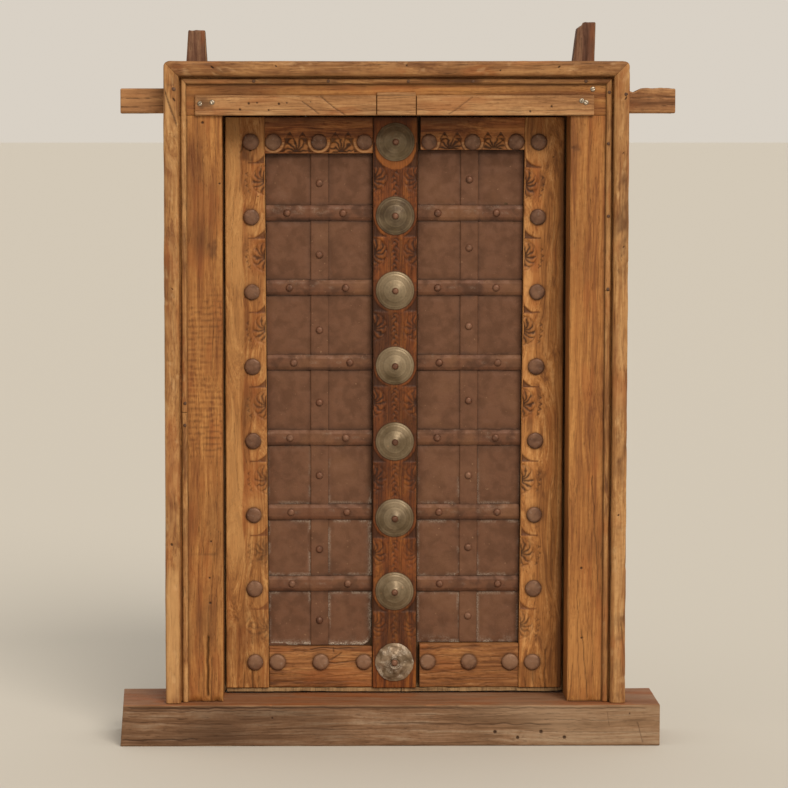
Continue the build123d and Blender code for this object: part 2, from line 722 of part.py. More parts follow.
def dressed_leaf(leaf):
    """All nodes of a leaf, drawn on the right and mirrored for the left. Nails cut their own holes."""
    studs = stile_studs() + rail_studs(leaf)
    strap_rows = range(len(STRAP_HEIGHTS))
    nails_by_strap = [strap_nails(leaf, row) for row in strap_rows]
    domes = cell_nails(leaf) + [nail for nails in nails_by_strap for nail in nails]
    nodes = {
        "hanging_plank": hanging_plank() - studs - domes,
        "inner_plank": inner_plank(leaf) - studs - domes,
        "back_ledges": Compound(children=ledges(leaf)),
        "stile": stile() - studs,
        "top_rail": top_rail(leaf) - studs,
        "foot_rail": foot_rail(leaf) - studs,
        "iron_sheet": iron_sheet(leaf) - domes,
        "centre_strip": centre_strip(leaf) - domes,
        "studs": Compound(children=studs),
        "dome_nails": Compound(children=domes),
    }
    for row in strap_rows:
        nodes[f"strap_{row + 1}"] = strap(leaf, STRAP_HEIGHTS[row]) - nails_by_strap[row]
    return {f"{leaf['name']}_{name}": on_side(piece, leaf["side"]) for name, piece in nodes.items()}


def window():
    """Every piece by name."""
    half_joint = BEAD_JOINT_GAP / 2
    bead_top = HEAD_TOP - BEAD_INSET
    joint_left = SILL_HEIGHT + BEAD_JOINT_RISE_LEFT
    joint_right = SILL_HEIGHT + BEAD_JOINT_RISE_RIGHT
    nodes = {
        "sill_beam": sill_beam(),
        "jamb_left": jamb_left(),
        "jamb_right": jamb_right(),
        "head_beam": head_beam(),
        "outer_moulding_left": outer_moulding(-1),
        "outer_moulding_right": outer_moulding(1),
        "outer_moulding_top": mitred_top(0, MOULDING_WIDTH, MOULDING_PROUD, MOULDING_ROUND),
        "inner_bead_top": mitred_top(BEAD_INSET, BEAD_WIDTH, BEAD_PROUD, BEAD_ROUND),
        "inner_bead_left_lower": inner_bead(-1, (SILL_HEIGHT, joint_left - half_joint)),
        "inner_bead_left_upper": inner_bead(-1, (joint_left + half_joint, bead_top)),
        "inner_bead_right_lower": inner_bead(1, (SILL_HEIGHT, joint_right - half_joint)),
        "inner_bead_right_upper": inner_bead(1, (joint_right + half_joint, bead_top)),
        "head_batten_left": batten_strip((-HALF_OPENING - BATTEN_PAST_OPENING_LEFT, -BLOCK_WIDTH / 2)),
        "head_centre_block": centre_block(),
        "head_batten_right": batten_strip((BLOCK_WIDTH / 2, HALF_OPENING + BATTEN_PAST_OPENING_RIGHT)),
    }
    nodes.update(dressed_leaf(LEFT_LEAF))
    nodes.update(dressed_leaf(RIGHT_LEAF))
    boss_nails = [boss_nail(row) for row in range(ROWS)]
    nodes["left_inner_plank"] -= boss_nails
    nodes["cover_strip"] = cover_strip() - boss_nails
    nodes["boss_nails"] = Compound(children=boss_nails)
    nodes["bosses"] = Compound(children=[placed_boss(row) - boss_nails[row] for row in range(ROWS)])
    return nodes


os.makedirs("parts", exist_ok=True)
for node_name, node in window().items():
    export_step(node, f"parts/{node_name}.step")
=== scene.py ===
import math

import bpy
import numpy as np
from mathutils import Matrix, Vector


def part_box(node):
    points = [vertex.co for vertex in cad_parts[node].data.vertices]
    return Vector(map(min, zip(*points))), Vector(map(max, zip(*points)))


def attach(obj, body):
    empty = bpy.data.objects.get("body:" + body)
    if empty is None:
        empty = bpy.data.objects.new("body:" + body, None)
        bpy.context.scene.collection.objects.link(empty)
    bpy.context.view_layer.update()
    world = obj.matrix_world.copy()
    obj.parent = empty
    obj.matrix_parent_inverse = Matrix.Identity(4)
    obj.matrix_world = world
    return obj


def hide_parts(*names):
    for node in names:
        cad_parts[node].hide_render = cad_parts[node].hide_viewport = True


# An old teak window with its pair of iron-faced leaves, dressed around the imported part. Lengths are in
# millimetres and go into the meshes in metres, in the part's own frame: X right, Y back into the room,
# Z up, with the origin under the sill's middle.

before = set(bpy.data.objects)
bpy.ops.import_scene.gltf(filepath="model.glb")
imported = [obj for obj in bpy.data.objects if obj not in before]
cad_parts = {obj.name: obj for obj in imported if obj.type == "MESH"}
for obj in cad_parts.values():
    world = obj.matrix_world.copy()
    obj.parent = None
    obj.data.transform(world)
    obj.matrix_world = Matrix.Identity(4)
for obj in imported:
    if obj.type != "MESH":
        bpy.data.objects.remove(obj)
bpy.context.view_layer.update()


# Sill
# One baulk of teak, sawn square and laid flat, with the jambs tenoned into its top. It is greyer than
# the frame and darker at its left. Its front has long drying splits, four old nail holes and scribed
# lines at the right.

def solid_box(node):
    """The lowest and the highest corner of a CAD node, in millimetres to a tenth."""
    return [[round(part * 1000, 1) for part in corner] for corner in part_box(node)]


(SILL_LEFT, SILL_FRONT, SILL_FOOT), (SILL_RIGHT, SILL_BACK, SILL_TOP) = solid_box("sill_beam")
(HALF_OPENING, FACE, _), (HALF_FRAME, BACK, RIGHT_TENON_TOP) = solid_box("jamb_right")
PLANK_FRONT = solid_box("left_inner_plank")[0][1]


def linear_colour(code):
    """The linear colour of an sRGB code: a straight line near black and a power of 2.4 above it."""
    parts = [int(code[start:start + 2], 16) / 255 for start in (1, 3, 5)]
    linear = [part / 12.92 if part <= 0.04045 else ((part + 0.055) / 1.055) ** 2.4 for part in parts]
    return (*linear, 1.0)


def halfway(first, second, share=0.5):
    """A colour that lies a share of the way from one sRGB code to another, in linear light."""
    first, second = np.array(linear_colour(first)), np.array(linear_colour(second))
    return tuple((first + (second - first) * share).tolist())


def add_node(tree, kind, inputs=None, give=0, **settings):
    """Adds a shader node with its settings, a value or a link on each input, and gives one output."""
    node = tree.nodes.new("ShaderNode" + kind)
    for name, value in settings.items():
        setattr(node, name, value)
    for name, value in (inputs or {}).items():
        if isinstance(value, bpy.types.NodeSocket):
            tree.links.new(value, node.inputs[name])
        else:
            node.inputs[name].default_value = value
    return node.outputs[give] if node.outputs else node


def empty_material(name, shift, squeezes):
    """A new material, its node tree, and the object's own place moved by shift and squeezed in turn."""
    material = bpy.data.materials.new(name)
    material.use_nodes = True
    tree = material.node_tree
    tree.nodes.clear()
    own = add_node(tree, "TexCoord", give="Object")
    places = [add_node(tree, "Mapping", {"Vector": own, "Location": shift, "Scale": squeeze})
              for squeeze in squeezes]
    return material, tree, places


def dress_surface(tree, colour, coats, bare, dust, rough, height, depth, **shader):
    """Lays coats over a base colour, then the bare places and the dark layer of the paint layers, which is
    dust and in places painted shade, and puts them on one shader with roughness and a bump that is depth
    millimetres high. A coat is a mask, the two values between which it comes in, its strength and its
    colour. bare and rough are a field, two of its values and what they give, and bare and dust end with a
    colour."""
    smooth = {"interpolation_type": "SMOOTHSTEP"}
    for mask, low, high, strength, tint in coats:
        spread = {"Value": mask, "From Min": low, "From Max": high, "To Max": strength}
        cover = add_node(tree, "MapRange", spread, **smooth)
        colour = add_node(tree, "Mix", {0: cover, 6: colour, 7: tint}, 2, data_type="RGBA")
    strengths = []
    for field, low, high, to_low, to_high in (bare[:5], rough):
        spread = {"Value": field, "From Min": low, "From Max": high, "To Min": to_low, "To Max": to_high}
        strengths.append(add_node(tree, "MapRange", spread, **smooth))
    for layer, strength, tint in (("pale", strengths[0], bare[5]), ("dirt", *dust)):
        paint = add_node(tree, "Attribute", give="Fac", attribute_name=layer)
        cover = add_node(tree, "Math", {0: paint, 1: strength}, operation="MULTIPLY", use_clamp=True)
        colour = add_node(tree, "Mix", {0: cover, 6: colour, 7: tint}, 2, data_type="RGBA")
    bump = add_node(tree, "Bump", {"Height": height, "Distance": 0.001 * depth, "Strength": 1.0})
    sockets = {"Base Color": colour, "Roughness": strengths[1], "Normal": bump, **shader}
    add_node(tree, "OutputMaterial", {"Surface": add_node(tree, "BsdfPrincipled", sockets)})


# Teak's growth bands, fibres, dark lines and pores, and its blotches, flecks and slow drift, each from
# crest to crest. Real pores are 0.3 wide, which is too fine to show, so they are drawn four times as wide.
GROWTH_BAND, FIBRE, DARK_LINE, PORE = 13.3333, 3.0303, 6.06061, 1.31579
BLOTCH, FLECK, DRIFT = 142.857, 7.69231, 111.111
# How far the grain and its drift are squeezed along it, which draws them out there
GRAIN_SQUEEZE, DRIFT_SQUEEZE = 0.045, 0.3


def teak(name, dark, middle, light, along, seed, figure=1.0, rough=0.56, streaks=1.0, blotch=0.4):
    """Old waxed teak whose grain runs along one axis. Fields of noise, drawn out along the grain and
    led astray by a slow drift, mix its dark, middle and light colours. figure is the drift's strength."""
    shift = (seed * 0.37, seed * 0.23, seed * 0.51)
    squeezes = [[share if axis == along else 1.0 for axis in "XYZ"]
                for share in (1.0, GRAIN_SQUEEZE, DRIFT_SQUEEZE)]
    material, tree, (whole, grain, slow) = empty_material(name, shift, squeezes)
    drift = add_node(tree, "TexNoise", {"Vector": slow, "Scale": 1000 / DRIFT, "Detail": 2, "Distortion": 0})
    wander = add_node(tree, "VectorMath", {0: drift, 1: (0.05 * figure,) * 3}, operation="MULTIPLY")
    grain = add_node(tree, "VectorMath", {0: grain, 1: wander}, operation="ADD")
    # Each noise field has its place, its largest cell, how many times that is halved, and its stirring
    bands, fibres, lines, pores, blotches, flecks = [
        add_node(tree, "TexNoise", {"Vector": place, "Scale": 1000 / size, "Detail": halvings,
                                    "Distortion": stir})
        for place, size, halvings, stir in (
            (grain, GROWTH_BAND, 3, 0.4), (grain, FIBRE, 4, 0), (grain, DARK_LINE, 2, 0.6),
            (grain, PORE, 2, 0), (whole, BLOTCH, 4, 0.8), (whole, FLECK, 3, 0))]
    bands = add_node(tree, "Math", {0: bands, 1: 0.62}, operation="MULTIPLY")
    figured = add_node(tree, "Math", {0: fibres, 1: 0.38, 2: bands}, operation="MULTIPLY_ADD")
    warm = add_node(tree, "Attribute", give="Fac", attribute_name="warm")
    tone = add_node(tree, "Attribute", give="Fac", attribute_name="tone")
    # The tone layer lightens or darkens these colours, and in places carries painted light and shade
    coats = (
        (figured, 0.34, 0.52, 1.0, linear_colour(middle)),
        (figured, 0.47, 0.66, 1.0, linear_colour(light)),
        (blotches, 0.36, 0.74, blotch, linear_colour(dark)),
        (lines, 0.60, 0.74, 0.5 * streaks, linear_colour(dark)),
        (flecks, 0.42, 0.66, 0.22, linear_colour(dark)),
        (pores, 0.60, 0.72, 0.45, linear_colour("#3a2110")),
        (warm, 0.0, 1.0, 0.6, linear_colour("#9a5526")),
        (tone, 0.0, 1.0, 0.6, linear_colour(light)),
        (tone, 0.0, -1.0, 0.85, halfway(dark, "#24130a", 0.55)),
    )
    open_pores = add_node(tree, "MapRange", {"Value": pores, "From Min": 0.60, "From Max": 0.72,
                                             "To Max": 0.35}, interpolation_type="SMOOTHSTEP")
    raised = add_node(tree, "Math", {0: figured, 1: 0.9}, operation="MULTIPLY")
    height = add_node(tree, "Math", {0: raised, 1: open_pores}, operation="SUBTRACT", use_clamp=True)
    bare = (fibres, 0.3, 0.6, 0.5, 1.0, halfway(light, "#d2b184"))
    # The dark layer's colour, which is dust and in places painted shade
    dust = (0.88, linear_colour("#2b1507"))
    dull = (fibres, 0.25, 0.75, rough + 0.1, rough - 0.1)
    dress_surface(tree, linear_colour(dark), coats, bare, dust, dull, height, 1.1,
                  **{"Specular IOR Level": 0.25})
    return material


def noise(x, y, seed, octaves=3):
    """Smooth noise from about -1 to 1: random values on a grid of 64 by 64 that are joined by smooth
    steps, and summed over octaves, each twice as fine and half as strong."""
    total = 0.0
    for octave in range(octaves):
        table = np.random.default_rng(seed * 31 + octave).uniform(-1, 1, (64, 64))
        across, up = x * 2 ** octave + 5.3 * octave, y * 2 ** octave
        column, row = np.floor(across).astype(int), np.floor(up).astype(int)
        u, v = across - column, up - row
        u, v = u * u * (3 - 2 * u), v * v * (3 - 2 * v)
        low = table[column % 64, row % 64] * (1 - u) + table[(column + 1) % 64, row % 64] * u
        high = table[column % 64, (row + 1) % 64] * (1 - u) + table[(column + 1) % 64, (row + 1) % 64] * u
        total = total + (low * (1 - v) + high * v) * 0.5 ** octave
    return total


def rise(value, low, high):
    """From 0 at low to 1 at high, smoothly: three times the square less twice the cube of the share."""
    share = np.clip((value - low) / (high - low), 0, 1)
    return share * share * (3 - 2 * share)


def cut(u, t, start, end, width):
    """1 on a line between two places, and less with the square of the distance over the width."""
    start, end = np.array(start, float), np.array(end, float)
    run = end - start
    share = np.clip(((u - start[0]) * run[0] + (t - start[1]) * run[1]) / (run @ run), 0, 1)
    gap = np.hypot(u - start[0] - share * run[0], t - start[1] - share * run[1])
    return np.exp(-(gap / width) ** 2)


def spot(u, t, centre, radius):
    """1 inside a round place and 0 outside it, with a smooth step at its rim."""
    return 1 - rise(np.hypot(u - centre[0], t - centre[1]), radius * 0.7, radius * 1.25)


def section_of(corners, radii, steps):
    """A closed section with round corners: each corner is an arc that touches both its edges. Its rows
    are u, v and how much a point belongs to a corner. Edge n starts at corner n and has its own step."""
    corners = [np.array(corner, float) for corner in corners]
    count = len(corners)
    rows = []
    for here in range(count):
        corner, before, after = corners[here], corners[here - 1], corners[(here + 1) % count]
        back, on = before - corner, after - corner
        back, on = back / np.linalg.norm(back), on / np.linalg.norm(on)
        half = math.acos(np.clip(back @ on, -1, 1)) / 2
        reach = radii[here] / math.tan(half)
        centre = corner + (back + on) / np.linalg.norm(back + on) * radii[here] / math.sin(half)
        for share in np.linspace(0, 1, 7):
            chord = corner + back * reach * (1 - share) + on * reach * share - centre
            place = centre + chord / np.linalg.norm(chord) * radii[here]
            rows.append((*place, math.sin(math.pi * share)))
        beyond, ahead = corner - after, corners[(here + 2) % count] - after
        far = np.linalg.norm(beyond)
        beyond, ahead = beyond / far, ahead / np.linalg.norm(ahead)
        next_reach = radii[(here + 1) % count] / math.tan(math.acos(np.clip(beyond @ ahead, -1, 1)) / 2)
        straight = far - reach - next_reach
        number = max(1, round(straight / steps[here]))
        rows += [(*(corner + on * (reach + straight * step / number)), 0.0) for step in range(1, number)]
    rows = np.array(rows)
    area = np.sum(rows[:, 0] * np.roll(rows[:, 1], -1) - np.roll(rows[:, 0], -1) * rows[:, 1])
    return rows if area > 0 else rows[::-1]


def box_section(low, high, front, back, radii, steps):
    """A section with four corners, from low to high in u and from front to back in v."""
    return section_of([(low, front), (high, front), (high, back), (low, back)], radii, steps)


def stations(low, high, step, marks=(), fine=1.2, reach=5.0):
    """Places along a bar: evenly spaced, and closer at its two ends and round the marks."""
    places = [np.linspace(low, high, max(2, round((high - low) / step) + 1))]
    places += [[low + 0.3, low + 0.9, low + 1.8], [high - 1.8, high - 0.9, high - 0.3]]
    places += [np.arange(mark - reach, mark + reach, fine) for mark in marks]
    merged = np.unique(np.round(np.concatenate(places), 2))
    merged = merged[(merged >= low) & (merged <= high)]
    return merged[np.concatenate([[True], np.diff(merged) > 0.25])]


def grid_shell(x, y, z, paint):
    """A closed shell over a grid of rings: four-sided faces between the rings, and a cap on each end."""
    rows, columns = x.shape
    turn = np.arange(columns)[None, :]
    first = np.arange(rows - 1)[:, None] * columns + turn
    second = np.arange(rows - 1)[:, None] * columns + (turn + 1) % columns
    quads = np.stack([first, second, second + columns, first + columns], -1).reshape(-1, 4)
    caps = [list(range(columns))[::-1], list(range((rows - 1) * columns, rows * columns))]
    paint = {name: np.broadcast_to(value, x.shape).ravel() for name, value in paint.items()}
    return {"points": np.stack([x, y, z], -1).reshape(-1, 3), "quads": quads, "caps": caps, "paint": paint}


def sweep(section, along, place, relief=None, end_round=1.6):
    """A bar: its section is carried along, and every point sinks inwards, square to the section, by a
    quarter circle at the two ends and by its relief. relief(u, v, t, facing, corner) gives that sinking
    and the paint, and place(u, v, t) gives x, y and z."""
    u, v, corner = section.T
    tangent = np.stack([np.roll(u, -1) - np.roll(u, 1), np.roll(v, -1) - np.roll(v, 1)])
    tangent /= np.linalg.norm(tangent, axis=0)
    out_u, out_v = tangent[1], -tangent[0]
    shape = (len(along), len(u))
    u, v, corner = (np.broadcast_to(row, shape).copy() for row in (u, v, corner))
    t = np.broadcast_to(along[:, None], shape).copy()
    to_end = np.minimum(t - along[0], along[-1] - t)
    sink = np.zeros(shape)
    if end_round:
        share = np.clip(1 - to_end / end_round, 0, 1)
        sink += end_round * (1 - np.sqrt(1 - share ** 2 * 0.98))
    paint = {}
    if relief:
        more, paint = relief(u, v, t, (out_u, out_v), corner)
        sink += more
    return grid_shell(*place(u - out_u * sink, v - out_v * sink, t), paint)


def doubled_volume(shell):
    """Twice the signed volume of a shell, summed over its faces, which is negative if it is inside out."""
    corners = shell["points"][shell["quads"]]
    total = sum(np.einsum("ij,ij->", corners[:, 0], np.cross(corners[:, here], corners[:, here + 1]))
                for here in (1, 2))
    for cap in shell["caps"]:
        first, *rest = shell["points"][cap]
        rest = np.array(rest)
        total += np.cross(rest[:-1], rest[1:]).sum(0) @ first
    return total


def make_piece(name, shells, material, body, slot, *nodes):
    """One object from closed shells, with its faces outwards, which rides on a body and stands for CAD
    nodes. Of its four layers of paint, the first, the dark layer, is dust in cuts and seams and also painted
    shade in gaps, reveals and under carved lobes, pale is bare, rubbed or chalky, tone is lighter or darker
    and in places is painted light and shade, and warm is redder."""
    points, quads, caps, start = [], [], [], 0
    layers = {"dirt": [], "pale": [], "tone": [], "warm": []}
    for shell in shells:
        turned = -1 if doubled_volume(shell) < 0 else 1
        points.append(shell["points"])
        quads.append(shell["quads"][:, ::turned] + start)
        caps += [[index + start for index in cap[::turned]] for cap in shell["caps"]]
        for key, rows in layers.items():
            rows.append(shell["paint"].get(key, np.zeros(len(shell["points"]))))
        start += len(shell["points"])
    points, quads = np.concatenate(points) * 0.001, np.concatenate(quads)
    sizes = np.concatenate([np.full(len(quads), 4), [len(cap) for cap in caps]]).astype(int)
    loops = np.concatenate([quads.ravel(), np.concatenate(caps)]).astype(int)
    mesh = bpy.data.meshes.new(name)
    mesh.vertices.add(len(points))
    mesh.vertices.foreach_set("co", points.astype(np.float32).ravel())
    mesh.loops.add(len(loops))
    mesh.loops.foreach_set("vertex_index", loops.astype(np.int32))
    mesh.polygons.add(len(sizes))
    mesh.polygons.foreach_set("loop_start", np.concatenate([[0], np.cumsum(sizes)[:-1]]).astype(np.int32))
    mesh.update(calc_edges=True)
    smooth = np.concatenate([np.ones(len(quads), bool), np.zeros(len(caps), bool)])
    mesh.polygons.foreach_set("use_smooth", smooth)
    for key, rows in layers.items():
        values = np.clip(np.concatenate(rows), -1, 1).astype(np.float32)
        mesh.attributes.new(key, "FLOAT", "POINT").data.foreach_set("value", values)
    mesh.materials.append(material)
    piece = bpy.data.objects.new(name, mesh)
    bpy.context.scene.collection.objects.link(piece)
    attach(piece, body)
    if nodes:
        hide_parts(*nodes)


def deepen(paint, layer, value):
    """Raises a paint layer to a value wherever it is lower."""
    paint[layer] = np.maximum(paint[layer], value)


def wear(seed, cracks=(), holes=(), stains=(), rub=1.0, chips=0.5, waves=0.5, face=(0, -1)):
    """The relief of old timber: noise for its waves, rubbed arrises and chips, and on one face lines for
    its cracks and round places for its nail holes. All places are u and t on that face: a crack is two
    of them, its width and its depth, a hole is one and its radius, a stain is one, its radius and tone."""
    def relief(u, v, t, facing, corner):
        sink = waves * (0.5 + 0.5 * noise(t / 170, (u + v) / 60, seed, 3))
        sink += 0.12 * noise(t / 22, (u + v) / 3.5, seed + 1, 2)
        rubbed = rise(noise(t / 42, (u + v) / 40, seed + 2, 3), -0.2, 0.9)
        chipped = rise(noise(t / 17, (u + v) / 30, seed + 3, 2), 0.45, 0.9)
        sink += corner * (0.35 + rub * 1.5 * rubbed + chips * 3.0 * chipped)
        pale = corner * (0.15 + 0.6 * rub * rubbed) * 0.8
        tone = 0.38 * noise(t / 210, (u + v) / 75, seed + 4, 4)
        dirt = np.zeros(u.shape)
        shown = np.broadcast_to((facing[0] * face[0] + facing[1] * face[1]) > 0.8, u.shape)
        bend = 1.6 * noise(t / 24, t * 0, seed + 5, 2)
        for start_u, start_t, end_u, end_t, width, depth in cracks:
            mark = cut(u + bend, t, (start_u, start_t), (end_u, end_t), width) * shown
            sink += mark * depth
            dirt = np.maximum(dirt, mark * min(0.85, 0.25 + depth / 3))
        for at_u, at_t, radius in holes:
            mark = spot(u, t, (at_u, at_t), radius) * shown
            sink += mark * radius * 0.8
            dirt = np.maximum(dirt, mark)
        for at_u, at_t, radius, value in stains:
            ragged = np.hypot(u - at_u, (t - at_t) * 0.6) + 6 * noise(t / 14, u / 9, seed + 6, 2)
            tone += value * (1 - rise(ragged, radius * 0.4, radius * 1.2)) * shown
        warm = 0.5 * rise(noise(t / 90, (u + v) / 30, seed + 7, 4), 0.0, 0.9)
        return sink, {"dirt": dirt, "pale": pale, "tone": tone, "warm": warm}
    return relief


# Teak, sawn and left bare: grey brown and dull, with few blotches
sill_teak = teak("sill teak", "#60432c", "#816046", "#957d66", "X", 6.0, 0.6, 0.7, 0.5, 0.35)
sill_splits = [
    (77, -540, 78.5, -60, 1.3, 2.4), (78, -80, 76.5, 500, 1.0, 1.2), (71, -545, 72, -220, 0.9, 1.2),
    (60, -540, 57, -420, 0.8, 0.8), (50, -548, 44, -330, 0.9, 1.0), (47, -30, 44, 310, 1.1, 1.6),
    (12, -548, 15, -400, 1.3, 2.0), (64, 40, 66, 330, 0.7, 0.7), (36, -260, 33, 90, 0.7, 0.7),
    (30, 250, 27, 520, 0.7, 0.7), (20, -380, 24, -60, 0.6, 0.6), (54, 300, 51, 520, 0.8, 0.9),
]
scribed_lines = [(68, 425, 40, 429, 0.8, 0.5), (47, 486, 4, 497, 1.0, 0.7), (30, -60, 74, -2, 0.6, 0.25)]
sill_holes = [(28.6, 199.5, 3.4), (17, 245, 3.2), (29, 292, 3.4), (17.6, 339, 3.4), (66, 470, 1.6),
              (58, -248, 1.8)]
sill_stains = [(40, -460, 150, -0.25), (30, -260, 120, -0.2), (40, 160, 160, 0.3), (40, 430, 130, 0.3)]
sill_wear = wear(21, sill_splits + scribed_lines, sill_holes, sill_stains, 0.7, 0.4, 0.9)


def sill_relief(u, v, t, facing, corner):
    """Worn timber whose lower front is eaten back, with dust where the jambs and the leaves stand, and its
    top painted lighter and warmer as painted light.
    """
    sink, paint = sill_wear(u, v, t, facing, corner)
    lower = rise(-u, -9, -1) * (facing[1] < -0.3)
    sink += lower * 1.5 * (0.5 + 0.5 * noise(t / 90, u * 0, 23))
    on_top = facing[0] > 0.8
    deepen(paint, "pale", 0.18 * rise(t, 60, 420) * (facing[1] < -0.3))
    beside_jamb = (np.abs(t) > HALF_OPENING) * (np.abs(t) < HALF_FRAME + 6)
    seam = np.exp(-np.abs(v - FACE) / 5) * on_top * beside_jamb
    under_leaf = 0.6 * np.exp(-np.abs(v - PLANK_FRONT) / 5) * on_top * (np.abs(t) < HALF_OPENING)
    deepen(paint, "dirt", 0.75 * np.maximum(seam, under_leaf))
    # Painted light: the top is lighter and warmer than the front, as lit from above
    paint["tone"] += 0.25 * on_top - 0.1 * rise(-t, 0, 500)
    paint["warm"] = paint["warm"] * (facing[1] > -0.3) + 0.5 * on_top
    return sink, paint


def sill_place(u, v, t):
    """Level, with its left end sawn askew: up to 6 shorter at its top and 8 longer at its back."""
    askew = 6 * u / SILL_TOP - 8 * (v - SILL_FRONT) / (SILL_BACK - SILL_FRONT)
    return t + rise(-t, 300, -SILL_LEFT) * askew, v, u


sill_section = box_section(SILL_FOOT, SILL_TOP, SILL_FRONT, SILL_BACK, (2.5, 3.5, 4, 3), (1.6, 5, 14, 14))
sill_along = stations(SILL_LEFT, SILL_RIGHT, 4.5, [t for u, t, radius in sill_holes] + [427, 491])
make_piece("sill_beam_worn", [sweep(sill_section, sill_along, sill_place, sill_relief)], sill_teak,
           "frame", "sill_teak", "sill_beam")


# Jambs
# Two posts of planed teak with a rebate at the back. Their feet are tenoned into the sill, and a darker
# tenon of each, which was built into masonry, stands up through the head. The left one is split and
# rotted at its foot, has curly figure at mid height and two scratched lines.

SIDES = ((-1, "left"), (1, "right"))
SOFFIT, HEAD_TOP = (corner[2] for corner in solid_box("head_beam"))
LEFT_TENON_TOP = solid_box("jamb_left")[1][2]
REBATE_SIDE, REBATE_FRONT = 372, 52
BEAD_EDGE = 416.5

# Planed teak, waxed: a warm golden brown with fine even bands and few dark lines
upright_teak = teak("frame teak upright", "#774723", "#9c6734", "#b58047", "Z", 1.0, 0.7, 0.6, 0.4, 0.28)
# Sawn teak that stood in masonry: cold dark brown, dull and blotched
horn_teak = teak("horn teak", "#4a2e20", "#694735", "#84624a", "Z", 7.0, 0.5, 0.68, 0.8, 0.4)

jamb_cracks = {
    -1: [(-377, 96, -378.5, 215, 2.0, 7.0), (-371, 84, -369, 175, 0.8, 1.4),
         (-385, 90, -388, 168, 0.8, 1.0), (-395.6, 100, -395.0, 1262, 0.6, 0.6),
         (-359.6, 190, -359.0, 1262, 0.6, 0.7), (-380, 200, -374, 300, 0.7, 0.9),
         (-372, 240, -366, 400, 0.7, 0.8), (-388, 330, -391, 470, 0.6, 0.6),
         (-412, 390, -356, 391, 0.7, 0.6), (-410, 383, -358, 384, 0.6, 0.5),
         (-388, 432, -386, 384, 0.6, 0.5), (-372, 428, -371, 396, 0.6, 0.5),
         (-408, 428, -370, 429, 0.6, 0.35), (-366, 440, -350, 424, 0.7, 0.8),
         (-404, 1193, -352, 1213, 0.6, 0.3), (-367, 700, -365, 1000, 0.6, 0.5),
         (-383, 1040, -385, 1190, 0.6, 0.5)],
    1: [(388.4, 120, 388.8, 1262, 0.6, 0.5), (376, 230, 388, 90, 0.9, 1.6),
        (366, 330, 371, 84, 0.8, 1.0), (395, 540, 408, 310, 0.9, 1.6), (358, 160, 352, 88, 0.8, 1.3),
        (399, 84, 398, 230, 0.7, 0.8), (372, 700, 374, 1000, 0.5, 0.4),
        (403, 740, 404, 1120, 0.6, 0.5), (362, 430, 360, 640, 0.5, 0.4),
        (350, 600, 384, 608, 0.5, 0.25), (350, 1200, 365, 1196.5, 1.8, 0.9)],
}
jamb_holes = {
    -1: [(-385.6, 1249, 2.6), (-371, 410, 2.0), (-373, 285, 2.4), (-374, 336, 2.0), (-352, 1128, 2.0)],
    1: [(374.4, 355, 2.4), (376.4, 213, 2.4)],
}
jamb_stains = {
    -1: [(-364, 992, 11, -0.5), (-376, 1040, 60, -0.15), (-400, 1180, 34, -0.2), (-395, 620, 40, -0.2),
         (-372, 250, 30, -0.25), (-395, 130, 40, 0.3), (-408, 1000, 40, -0.15)],
    1: [(357, 1198, 9, -0.3), (400, 640, 50, -0.15), (368, 480, 46, 0.2), (372, 180, 40, 0.2)],
}
jamb_wear = {-1: wear(31, jamb_cracks[-1], jamb_holes[-1], jamb_stains[-1], 0.8, 0.45, 0.7),
             1: wear(41, jamb_cracks[1], jamb_holes[1], jamb_stains[1], 0.8, 0.35, 0.6)}


def mirrored(section, side):
    """A section for one side: its u changes sign for the left, and its rows keep their way round."""
    section = section * [side, 1, 1]
    return section if side > 0 else section[::-1]


def upright(u, v, t):
    """Along Z, with u as X and v as Y."""
    return u, v, t


def jamb_relief(side):
    """Worn timber whose foot is eaten back by noise, with a dark band at the sill that is partly dust and
    partly painted shade, a dark line along the bead, and painted shade on its inside faces. The left post's
    ripple is a sine along the grain, which noise bends and fades."""
    def relief(u, v, t, facing, corner):
        sink, paint = jamb_wear[side](u, v, t, facing, corner)
        front = (facing[1] < -0.3) * np.ones(u.shape)
        foot = rise(-t, -SILL_TOP - 12, -SILL_TOP) * front
        ragged = np.clip(noise(u / 9, t / 30, 33 - side) + (0.7 if side < 0 else 0.1), 0, 2)
        sink += foot * ragged * (5.0 if side < 0 else 2.4)
        # A dark band at the sill: partly dust, partly painted shade under the foot
        deepen(paint, "dirt", rise(-t, -SILL_TOP - 5, -SILL_TOP) * front * 0.7)
        deepen(paint, "dirt", 0.5 * np.exp(-np.abs(np.abs(u) - BEAD_EDGE) / 1.6) * front)
        # Painted shade: the inside faces of the reveal are darker and dustier
        inside = (np.abs(u) < HALF_OPENING + 1.5) * (v > FACE + 6)
        paint["tone"] -= 0.2 * inside
        deepen(paint, "dirt", inside * 0.2 * rise(v, 40, REBATE_FRONT))
        if side < 0:
            curl = np.sin(t / 1.9 + 1.8 * noise(t / 30, u / 18, 35))
            curl *= rise(noise(t / 80, u / 90, 36), -1.0, 0.3)
            shown = rise(t, 550, 610) * (1 - rise(t, 860, 960)) * front
            paint["tone"] += 0.4 * curl * shown - 0.22 * rise(-t, -760, -420) * front
            deepen(paint, "dirt", 0.3 * rise(-curl, 0.45, 0.95) * shown)
        return sink, paint
    return relief


